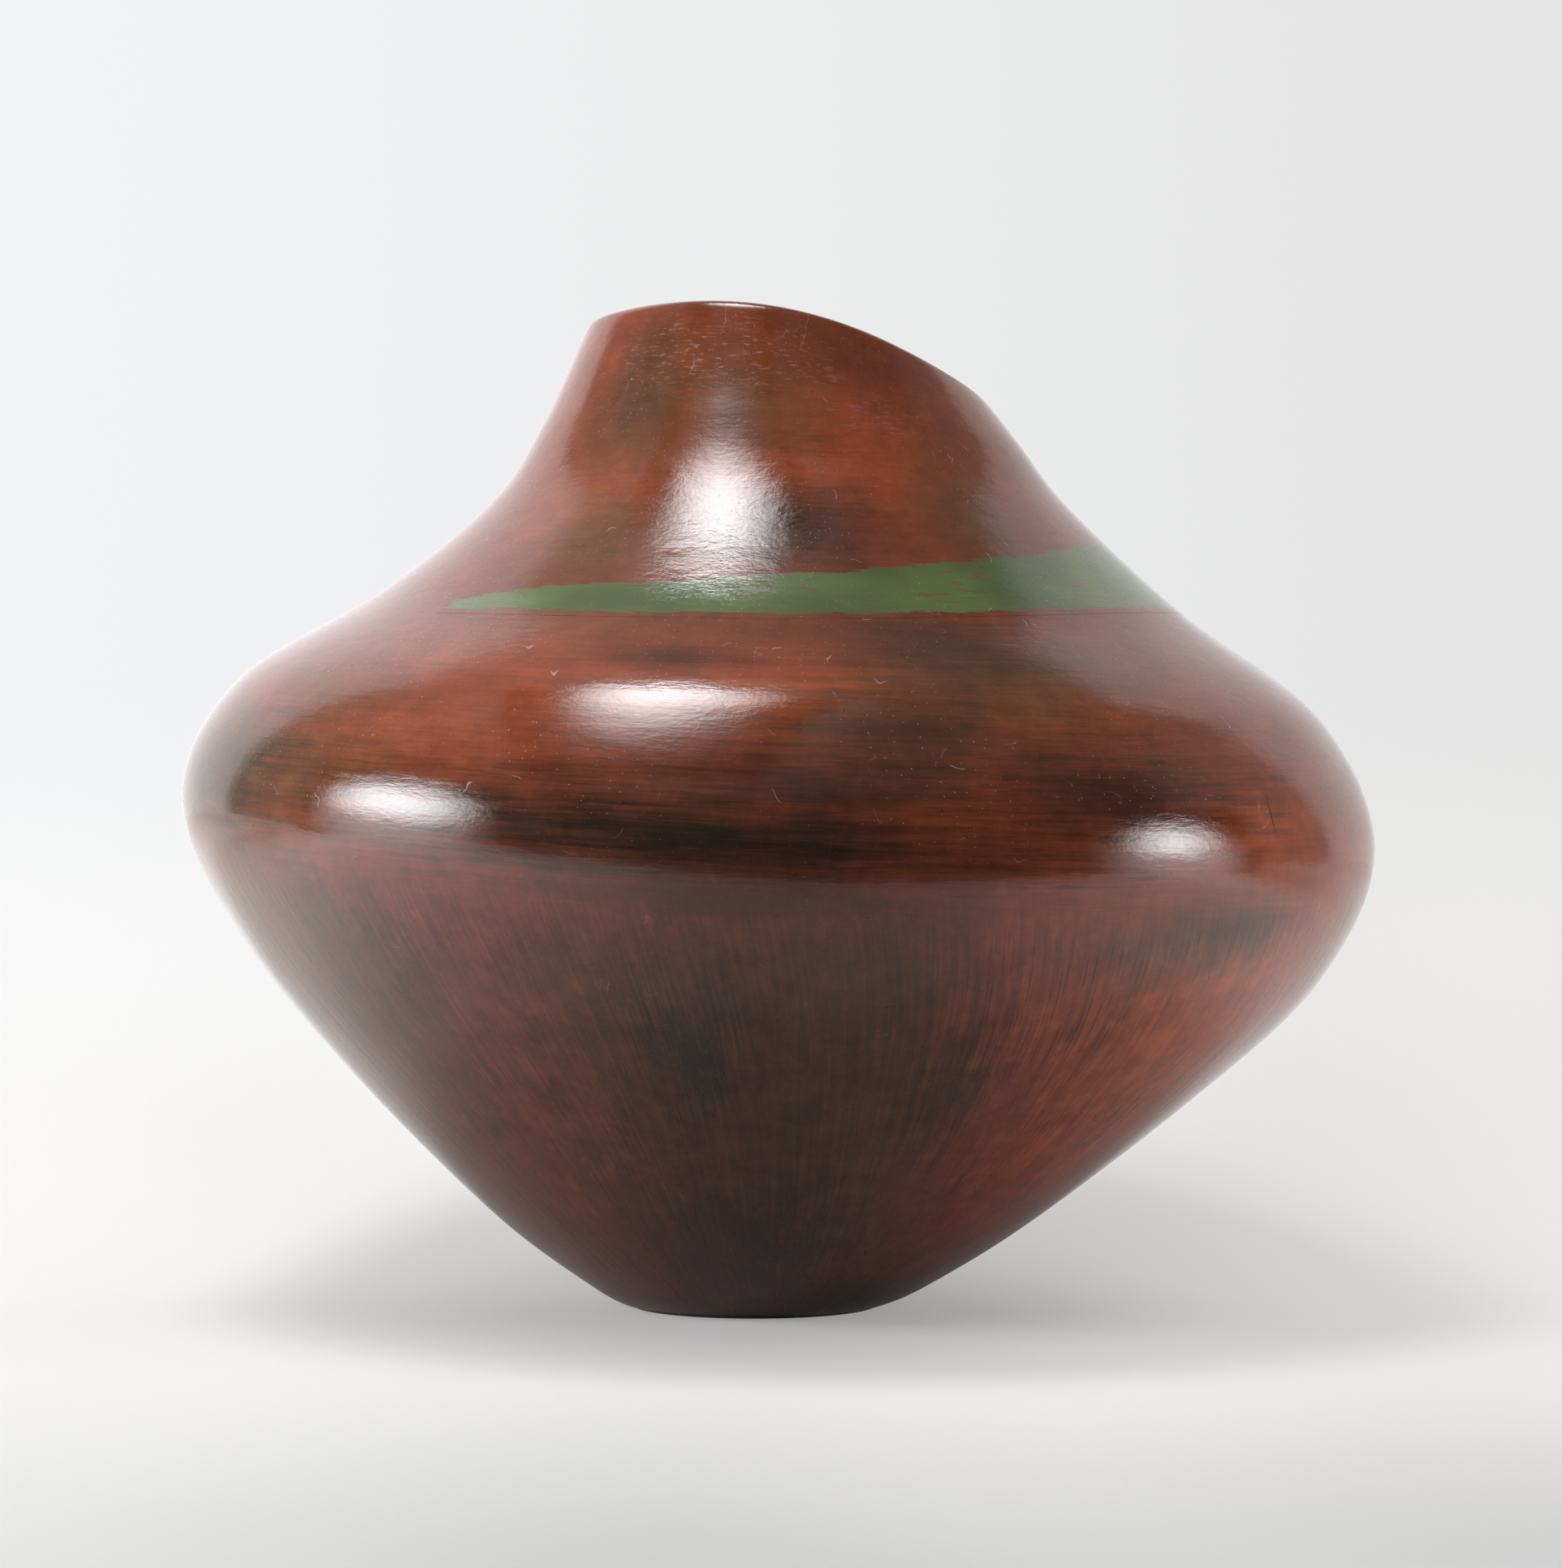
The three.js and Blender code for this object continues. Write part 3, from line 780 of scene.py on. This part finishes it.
    grain = noise(tree, space, scale=1100.0, roughness=0.6)
    roughness = ramp(tree, streaks, 0.0, 1.0, *STROKE_ROUGHNESS)
    roughness = plus(tree, roughness, ramp(tree, grain, 0.35, 0.65, 0.0, GRAIN_ROUGHNESS))
    roughness = plus(tree, roughness, times(tree, settled["Dust"], DUST_ROUGHNESS))
    height = plus(tree, facets, times(tree, streaks, STROKE_RELIEF))
    height = plus(tree, height, times(tree, grain, GRAIN_RELIEF))
    height = minus(tree, height, times(tree, sunk, SUNK_RELIEF))
    tree.links.new(colour, result.inputs["Colour"])
    tree.links.new(roughness, result.inputs["Roughness"])
    tree.links.new(height, result.inputs["Height"])
    tree.links.new(settled["Dust"], result.inputs["Dust"])
    return tree


red_slip_look = build_red_slip_group()
red_slip, red_tree, red_shader = new_material("burnished_red_slip")
skin = use_group(red_tree, red_slip_look)
finish_material(red_tree, red_shader, skin["Colour"], skin["Roughness"], skin["Height"], SKIN_RELIEF)

coat = ring_mesh("burnished_red_coat", *slip_coat(), True, red_slip)
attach(coat, "root")
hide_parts("red_slip_coat")


# Green slip band. A stripe of green slip painted round the jar's right side and burnished with the coat, so
# that it lies level with it, its edges feathered by the brush and its two tips drawn out thin at the left.
BAND_TALLEST = 0.018
BAND_NEAR_TIP = 0.0048
BAND_TIP_HEIGHT = 0.0015
BAND_TIP_ROUNDING = 14
BAND_HALF_SWEEP = math.radians(139)
BAND_MARGIN = 0.0012
BAND_PROUD = 0.00004
BAND_ROWS = 18
BAND_COLUMNS = 420
BAND_FEATHER = 0.0015  # how far the strokes carry its edge to and fro
BAND_EDGE = 0.0003


def band_height(angle):
    share = np.minimum(1, np.abs(angle) / BAND_HALF_SWEEP)
    full = BAND_TALLEST + (BAND_NEAR_TIP - BAND_TALLEST) * share
    return np.maximum(BAND_TIP_HEIGHT, full * np.sqrt(1 - share**BAND_TIP_ROUNDING))


def band_mesh(name, material):
    """A thin closed skin over the stripe and a narrow margin round it, where its colour gives way to red."""
    angles = np.linspace(-BAND_HALF_SWEEP, BAND_HALF_SWEEP, BAND_COLUMNS)
    share = np.linspace(0, 1, BAND_ROWS)[:, None]
    low = band_low_edge(angles) - BAND_MARGIN
    high = band_low_edge(angles) + band_height(angles) + BAND_MARGIN
    heights = low + (high - low) * share
    angles = np.broadcast_to(angles, heights.shape)
    places = halved(lambda place: burnished_face(angles, place)[..., 2], heights, heights.shape)
    face = burnished_face(angles, places)
    out, _ = directions(angles, places)
    dents = dent(face)[..., None]
    top = face + out * (BAND_PROUD - dents)
    under = face - out * (SLIP_THICKNESS / 2 + dents)
    index = np.arange(2 * heights.size).reshape(2, *heights.shape)
    corners = [index[0, :-1, :-1], index[0, :-1, 1:], index[0, 1:, 1:], index[0, 1:, :-1]]
    outward = np.stack([corner.ravel() for corner in corners], axis=1)
    inward = outward[:, [0, 3, 2, 1]] + heights.size
    sides = [index[:, 0, :-1], index[:, :-1, -1], index[:, -1, :0:-1], index[:, :0:-1, 0]]
    rim = np.concatenate(sides, axis=1)
    after = np.roll(rim, -1, axis=1)
    edge_faces = np.stack([rim[1], after[1], after[0], rim[0]], axis=1)
    faces = np.concatenate([outward, inward, edge_faces]).tolist()
    piece = new_piece(name, np.concatenate([top.reshape(-1, 3), under.reshape(-1, 3)]), faces, material)
    lay_out(piece, np.stack([angles, angles]), np.stack([climb_at(places), climb_at(places)]))
    from_edge = np.minimum(heights - low, high - heights) - BAND_MARGIN
    from_tip = (BAND_HALF_SWEEP - np.abs(angles)) * RINGS["shoulder"][0] - BAND_MARGIN
    inside = np.minimum(from_edge, from_tip)
    edge = piece.data.attributes.new("from_edge", "FLOAT", "POINT")
    edge.data.foreach_set("value", np.stack([inside, inside]).ravel())
    return piece


LEAF_GREEN = (0.110, 0.154, 0.050, 1)
DARK_GREEN = (0.080, 0.104, 0.038, 1)

green_slip, green_tree, green_shader = new_material("burnished_green_slip")
skin = use_group(green_tree, red_slip_look)
lay_of_band = add_node(green_tree, "ShaderNodeAttribute", attribute_name="lay").outputs["Vector"]
from_edge = add_node(green_tree, "ShaderNodeAttribute", attribute_name="from_edge").outputs["Fac"]
band_rubbing = use_group(green_tree, rubbing_strokes, Lay=lay_of_band, Around=16.0, Up=1500.0)
band_strokes = band_rubbing["Tone"]
band_shade = skin_noise(green_tree, lay_of_band, around=3.0, up=60.0)
feather = times(green_tree, minus(green_tree, band_strokes, 0.5), BAND_FEATHER)
painted = ramp(green_tree, plus(green_tree, from_edge, feather), -BAND_EDGE, BAND_EDGE)
green = mix_colour(green_tree, ramp(green_tree, band_shade, 0.35, 0.65), DARK_GREEN, LEAF_GREEN)
green = mix_colour(green_tree, times(green_tree, band_strokes, 0.25), green, DARK_GREEN)
green = mix_colour(green_tree, times(green_tree, skin["Dust"], 0.7), green, DUST)
covering = times(green_tree, painted, ramp(green_tree, band_rubbing["Dark"], 0.2, 1.0, 1.0, 0.5))
green = mix_colour(green_tree, covering, skin["Colour"], green)
finish_material(green_tree, green_shader, green, skin["Roughness"], skin["Height"], SKIN_RELIEF)

stripe = band_mesh("burnished_green_stripe", green_slip)
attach(stripe, "root")
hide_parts("green_slip_band")


# Paper sweep. A sheet of pale, matt paper is level under the jar and curves up behind it. Only the camera
# sees it: lit paper at the jar's foot and, higher up, the bright, even backdrop, far away and out of focus.
# The paper also has a painted glow that lightens its shadows, strongest at the right, and painted shade
# near the foot and in front; at the right its colour is darker, so that less of the lamps' light shows.
STAGE_HALF_WIDTH = 2.4
STAGE_BACK = 2.4
SWEEP_FROM = 0.03  # behind the jar's foot, where the paper begins to rise
SWEEP_RADIUS = 0.36
SWEEP_TOP = 0.75
SWEEP_ROWS = 60
BACKDROP_HEIGHTS = (0.02, 0.17)  # where the lit paper starts to give way to the backdrop, and where it has
BACKDROP_SIDES = (-0.27, 0.29)
BACKDROP_LEFT = (0.885, 0.895, 0.905, 1)
BACKDROP_RIGHT = (0.780, 0.783, 0.780, 1)
PAPER = (0.482, 0.467, 0.456, 1)
# Painted shade: the paper's colour is darker at the right, so that less of the lamps' light shows there.
PAPER_SHARE_RIGHT = 0.49  # how much of the lamps' light the paper takes up at the right
PAPER_SIDES = (-0.02, 0.24)  # metres to the right, between which the left's painted glow and paper tone give way to the right's
PAPER_GLOW_LEFT = (0.34, 0.338, 0.335, 1)  # a painted glow on the paper that stands in for the light the pale room sends into its shadows
PAPER_GLOW_RIGHT = (0.620, 0.606, 0.580, 1)
GLOW_KEPT_IN_PAINTED_FOOT_SHADE = 0.78  # painted shade near the foot: the share of the glow that is kept close to it
FOOT_REACHES = (0.05, 0.13)  # metres from the jar's middle, between which the painted shade fades and the glow grows to the whole
PAPER_FRONT_LEFT = (0.26, 0.26, 0.26, 1)  # the painted glow in front of the jar, weakest in the middle: painted shade where the room in front is dark
PAPER_FRONT_MIDDLE = (0.12, 0.12, 0.12, 1)
PAPER_FRONT_RIGHT = (0.44, 0.44, 0.44, 1)
FRONT_DEPTHS = (-0.12, -0.40)
FRONT_SIDES = (0.0, -0.15)
WHITE = (1, 1, 1, 1)
BLACK = (0, 0, 0, 1)
SHEET_MOTTLE = (0.96, 1.04)
SHEET_ROUGHNESS = 0.9


def studio_sheet(name, rows, material):
    """A sheet through rows of points that run from left to right, which isn't part of the jar."""
    columns = len(rows[0])
    faces = []
    for row in range(len(rows) - 1):
        first = row * columns
        faces += [(i, i + 1, i + columns + 1, i + columns) for i in range(first, first + columns - 1)]
    sheet = new_piece(name, np.concatenate(rows), faces, material)
    return sheet


def sweep_rows():
    """The paper's outline from the front to its top, as rows across the studio."""
    turns = np.linspace(0, math.radians(90), SWEEP_ROWS)
    profile = [(-STAGE_BACK, 0.0)]
    profile += [(SWEEP_FROM + SWEEP_RADIUS * math.sin(t), SWEEP_RADIUS * (1 - math.cos(t))) for t in turns]
    profile.append((SWEEP_FROM + SWEEP_RADIUS, SWEEP_TOP))
    return [np.array([(-STAGE_HALF_WIDTH, y, z), (STAGE_HALF_WIDTH, y, z)]) for y, z in profile]


def matt_sheet(name, colour):
    """A mottled, matt, glowing material, with its tree, its shader, the place on it and its colour."""
    material, tree, shader = new_material(name)
    space = add_node(tree, "ShaderNodeTexCoord").outputs["Object"]
    mottle = ramp(tree, noise(tree, space, scale=3.0, detail=2.0), 0.3, 0.7, *SHEET_MOTTLE)
    shader.inputs["Roughness"].default_value = SHEET_ROUGHNESS
    shader.inputs["Specular IOR Level"].default_value = 0.0
    shader.inputs["Emission Color"].default_value = WHITE
    shader.inputs["Emission Strength"].default_value = 1.0
    return material, tree, shader, space, dimmed(tree, colour, mottle)


def distance(tree, place, middle=(0, 0, 0)):
    made = add_node(tree, "ShaderNodeVectorMath", {0: place, 1: middle}, operation="DISTANCE")
    return made.outputs["Value"]


def sweep_material():
    material, tree, shader, space, paper = matt_sheet("sweep_paper", PAPER)
    parts = add_node(tree, "ShaderNodeSeparateXYZ", {0: space}).outputs
    to_right = ramp(tree, parts["X"], *PAPER_SIDES)
    # Painted glow: emission that lightens the paper's shadows, stronger at the right.
    glow = mix_colour(tree, to_right, PAPER_GLOW_LEFT, PAPER_GLOW_RIGHT)
    # Painted shade in front of the jar: there the glow is weaker, least in the middle.
    to_left = ramp(tree, parts["X"], *FRONT_SIDES)
    front_glow = mix_colour(tree, to_left, PAPER_FRONT_MIDDLE, PAPER_FRONT_LEFT)
    front_glow = mix_colour(tree, to_right, front_glow, PAPER_FRONT_RIGHT)
    glow = mix_colour(tree, ramp(tree, parts["Y"], *FRONT_DEPTHS), glow, front_glow)
    # Painted shade: the glow is dimmed close to the jar's foot.
    painted_foot_shade = ramp(tree, distance(tree, space), *FOOT_REACHES, GLOW_KEPT_IN_PAINTED_FOOT_SHADE, 1.0)
    glow = dimmed(tree, glow, painted_foot_shade)
    # Painted shade: the paper is darker at the right.
    paper = dimmed(tree, paper, ramp(tree, to_right, 0.0, 1.0, 1.0, PAPER_SHARE_RIGHT))
    backdrop = mix_colour(tree, ramp(tree, parts["X"], *BACKDROP_SIDES), BACKDROP_LEFT, BACKDROP_RIGHT)
    far = ramp(tree, parts["Z"], *BACKDROP_HEIGHTS)
    tree.links.new(mix_colour(tree, far, paper, BLACK), shader.inputs["Base Color"])
    tree.links.new(mix_colour(tree, far, glow, backdrop), shader.inputs["Emission Color"])
    behind = add_node(tree, "ShaderNodeNewGeometry").outputs["Backfacing"]
    tree.links.new(minus(tree, 1.0, behind), shader.inputs["Alpha"])
    return material


sweep = studio_sheet("sweep", sweep_rows(), sweep_material())
sweep.visible_glossy = False
sweep.visible_diffuse = False
sweep.visible_shadow = False


# Table. The camera doesn't see it. It is what the jar's gloss mirrors in place of the paper: a matt top
# whose front edge lies further out at the sides. The lamps light it, and the jar shades it near its foot.
# Light is also painted on it as a glow: from the room behind, in gleams towards the side lamps and in
# pools, which are given painted shade near the jar's foot.
TABLE = (0.44, 0.44, 0.435, 1)
TABLE_FRONT = 0.45
TABLE_FRONT_CURVE = 0.35
TABLE_FRONT_SPREAD = 0.5
TABLE_FRONT_SHIFT = 0.12
TABLE_COLUMNS = 97
TABLE_DROP = 0.0005
PAINTED_TABLE_SHADE = (0.08, 0.27, 0.12)  # the jar's painted shade on the pools: where it is full, where it ends, the light left in it
PAINTED_LIGHT_POOLS = ((-0.48, -0.14, 0.56, 1.35), (0.45, -0.10, 0.56, 0.75))  # painted pools of light: right, back, reach, strength
POOL_CORE = 0.1
PAINTED_TABLE_GLEAMS = ((-76, 36, 2.5), (76, 27, 1.8))  # painted gleams of lamp light: degrees round from the front, half the sweep, strength
GLEAM_CORE = 4.0
GLEAM_REACHES = (0.1, 1.3)  # metres from the jar at which a painted gleam begins, and at which it is brightest
PAINTED_GLOW_BEHIND = 0.9  # a painted glow for the light from the pale room behind, which grows with depth and is weaker at the right
BEHIND_DEPTHS = (0.05, 0.60)
BEHIND_SIDES = (0.35, -0.35)
BEHIND_SHARE_RIGHT = 0.6


def table_rows():
    across = np.linspace(-STAGE_HALF_WIDTH, STAGE_HALF_WIDTH, TABLE_COLUMNS)
    off = (across - TABLE_FRONT_SHIFT) / TABLE_FRONT_SPREAD
    front = -TABLE_FRONT - TABLE_FRONT_CURVE * (1 - np.exp(-(off**2)))
    level = np.full_like(across, -TABLE_DROP)
    back = np.full_like(across, STAGE_BACK)
    return [np.stack([across, front, level], axis=-1), np.stack([across, back, level], axis=-1)]


def table_material():
    material, tree, shader, space, colour = matt_sheet("table_top", TABLE)
    tree.links.new(colour, shader.inputs["Base Color"])
    parts = add_node(tree, "ShaderNodeSeparateXYZ", {0: space}).outputs
    # Painted light, fed to the emission: a glow from the room behind, gleams towards the side lamps and
    # pools.
    behind = ramp(tree, parts["Y"], *BEHIND_DEPTHS, 0.0, PAINTED_GLOW_BEHIND)
    glow = times(tree, behind, ramp(tree, parts["X"], *BEHIND_SIDES, BEHIND_SHARE_RIGHT, 1.0))
    away = distance(tree, space)
    turn = turn_from_front(tree, parts)
    for middle, half_sweep, strength in PAINTED_TABLE_GLEAMS:
        off = maths(tree, "ABSOLUTE", minus(tree, turn, middle))
        painted_gleam = ramp(tree, away, *GLEAM_REACHES, 0.0, strength)
        glow = plus(tree, glow, times(tree, painted_gleam, ramp(tree, off, half_sweep, GLEAM_CORE)))
    # Painted shade: the pools of light are dimmed close to the jar's foot.
    full_at, ends_at, light_left = PAINTED_TABLE_SHADE
    painted_shade = ramp(tree, away, full_at, ends_at, light_left, 1.0)
    for right, back, reach, strength in PAINTED_LIGHT_POOLS:
        painted_pool = ramp(tree, distance(tree, space, (right, back, 0)), reach, POOL_CORE, 0.0, strength)
        glow = plus(tree, glow, times(tree, painted_shade, painted_pool))
    tree.links.new(glow, shader.inputs["Emission Strength"])
    return material


table = studio_sheet("table", table_rows(), table_material())
table.visible_camera = False


# Room. The jar's gloss sees a room that is dark in front, with pale walls behind and low at the sides, a
# grey ceiling, and a glow round the upper lamp. The camera sees the even backdrop instead.
ROOM_DARK = (0.020, 0.020, 0.022, 1)
ROOM_SIDES = (0.34, 0.34, 0.34, 1)
CEILING_LEFT = (0.50, 0.50, 0.50, 1)
CEILING_RIGHT = (0.15, 0.15, 0.15, 1)
WALL_LEFT = (1.36, 1.37, 1.40, 1)
WALL_RIGHT = (0.88, 0.88, 0.88, 1)
SIDES_TURNS = (84, 96)  # degrees round from the front
WALL_TURNS = (126, 130)
WALL_TOPS = (54, 46)  # degrees up
LOW_SIDE_TURNS = (80.0, 110.0)
LOW_SIDE_TOPS = (1.0, -3.0)
CEILING_RISES = (32, 54)
ROOM_HALVES = (0.35, -0.35)
LAMP_GLOW = 0.8
LAMP_GLOW_WAY = (-0.20, -0.12, 0.97)
LAMP_GLOW_REACH = (0.88, 0.985)  # cosines of the angles at which the upper lamp's glow ends and is full
SKY_SIDES = (-0.18, 0.18)

world = bpy.data.worlds.new("studio")
bpy.context.scene.world = world
world.use_nodes = True
sky = world.node_tree
sky.nodes.clear()
way = add_node(sky, "ShaderNodeTexCoord").outputs["Generated"]
way_parts = add_node(sky, "ShaderNodeSeparateXYZ", {0: way}).outputs
round_way = maths(sky, "ABSOLUTE", turn_from_front(sky, way_parts))
up_way = times(sky, maths(sky, "ARCSINE", way_parts["Z"]), math.degrees(1))
to_left = ramp(sky, way_parts["X"], *ROOM_HALVES)
ceiling = mix_colour(sky, to_left, CEILING_RIGHT, CEILING_LEFT)
walls = mix_colour(sky, to_left, WALL_RIGHT, WALL_LEFT)
room = mix_colour(sky, ramp(sky, round_way, *SIDES_TURNS), ROOM_DARK, ROOM_SIDES)
room = mix_colour(sky, ramp(sky, up_way, *CEILING_RISES), room, ceiling)
on_wall = times(sky, ramp(sky, round_way, *WALL_TURNS), ramp(sky, up_way, *WALL_TOPS))
low_side = times(sky, ramp(sky, up_way, *LOW_SIDE_TOPS), ramp(sky, round_way, *LOW_SIDE_TURNS))
room = mix_colour(sky, larger(sky, on_wall, low_side), room, walls)
near_lamp = add_node(sky, "ShaderNodeVectorMath", {0: way, 1: LAMP_GLOW_WAY}, operation="DOT_PRODUCT")
lamp_glow = ramp(sky, near_lamp.outputs["Value"], *LAMP_GLOW_REACH, 0.0, LAMP_GLOW)
room = mix_colour(sky, 1.0, room, grey(sky, lamp_glow), "ADD")
backdrop = mix_colour(sky, ramp(sky, way_parts["X"], *SKY_SIDES), BACKDROP_LEFT, BACKDROP_RIGHT)
seen = add_node(sky, "ShaderNodeLightPath").outputs["Is Camera Ray"]
behind_jar = add_node(sky, "ShaderNodeBackground", {"Color": backdrop})
round_jar = add_node(sky, "ShaderNodeBackground", {"Color": room})
both = add_node(sky, "ShaderNodeMixShader", {0: seen, 1: round_jar.outputs[0], 2: behind_jar.outputs[0]})
add_node(sky, "ShaderNodeOutputWorld", {"Surface": both.outputs[0]})


# Lamps. Three soft lamps light the jar, one above it at the left and one low at each side. Each is a panel
# of cloth with a lamp behind it: brightest at a hot spot, with a dim glow that dies away towards the edge.
LAMP_COLOUR = (0.945, 0.975, 1.0, 1)
DIM_GLOW_CORE = 0.2  # the share of the panel in which the dim glow is even
OVERHEAD_FROM = 45  # degrees up


def oval_reach(tree, place, middle, half_sizes):
    """How far a place on a panel lies from a middle: 0 there, and 1 at the edge of an oval round it."""
    off = add_node(tree, "ShaderNodeVectorMath", {0: place, 1: (*middle, 0)}, operation="SUBTRACT")
    inputs = {0: off.outputs[0], 1: (*half_sizes, 1)}
    off = add_node(tree, "ShaderNodeVectorMath", inputs, operation="DIVIDE")
    return add_node(tree, "ShaderNodeVectorMath", {0: off.outputs[0]}, operation="LENGTH").outputs["Value"]


def softbox(name, azimuth, elevation, roll, away, size, hot_spot, hot_size, core, brightness, dim_share):
    """A lamp aimed at the jar's belly. Azimuth is in degrees round from the front, and roll turns the lamp
    about its own beam. The hot spot is placed from the panel's middle, and its core, a share of it, is even.
    dim_share is how much of the brightness the dim glow has."""
    azimuth = math.radians(azimuth)
    overhead = elevation > OVERHEAD_FROM
    elevation = math.radians(elevation)
    level = math.cos(elevation)
    way = mathutils.Vector((level * math.sin(azimuth), -level * math.cos(azimuth), math.sin(elevation)))
    side = mathutils.Vector((0, 1, 0) if overhead else (0, 0, 1)).cross(way).normalized()
    side.rotate(mathutils.Quaternion(way, math.radians(roll)))
    turn = mathutils.Matrix((side, way.cross(side), way)).transposed().to_4x4()
    half_width, half_height = size[0] / 2, size[1] / 2

    cloth, tree, shader = new_material(name)
    tree.nodes.remove(shader)
    space = add_node(tree, "ShaderNodeTexCoord").outputs["Object"]
    hot_reach = oval_reach(tree, space, hot_spot, hot_size)
    hot = ramp(tree, hot_reach, 1.0, core, 0.0, brightness * (1 - dim_share))
    dim_reach = oval_reach(tree, space, (0, 0), (half_width, half_height))
    dim = ramp(tree, dim_reach, 1.0, DIM_GLOW_CORE, 0.0, brightness * dim_share)
    glow = add_node(tree, "ShaderNodeEmission", {"Color": LAMP_COLOUR, "Strength": plus(tree, hot, dim)})
    tree.links.new(glow.outputs[0], tree.nodes["Material Output"].inputs["Surface"])

    rows = [np.array([(-half_width, y, 0), (half_width, y, 0)]) for y in (-half_height, half_height)]
    panel = studio_sheet(name, rows, cloth)
    aim = mathutils.Vector((0, 0, RINGS["belly"][1]))
    panel.matrix_world = mathutils.Matrix.Translation(aim + way * away) @ turn
    panel.visible_camera = False


softbox(
    "lamp_above",
    azimuth=-39.5,
    elevation=65.4,
    roll=-21,
    away=1.25,
    size=(0.94, 1.11),
    hot_spot=(0.0, 0.41),
    hot_size=(0.34, 0.72),
    core=0.0,
    brightness=21,
    dim_share=0.05,
)
softbox(
    "lamp_left",
    azimuth=-72,
    elevation=4,
    roll=0,
    away=1.3,
    size=(1.15, 1.40),
    hot_spot=(0.0, 0.32),
    hot_size=(0.50, 0.35),
    core=0.1,
    brightness=22,
    dim_share=0.20,
)
softbox(
    "lamp_right",
    azimuth=76,
    elevation=3,
    roll=0,
    away=1.3,
    size=(1.00, 1.00),
    hot_spot=(0.0, 0.21),
    hot_size=(0.32, 0.27),
    core=0.05,
    brightness=16,
    dim_share=0.20,
)
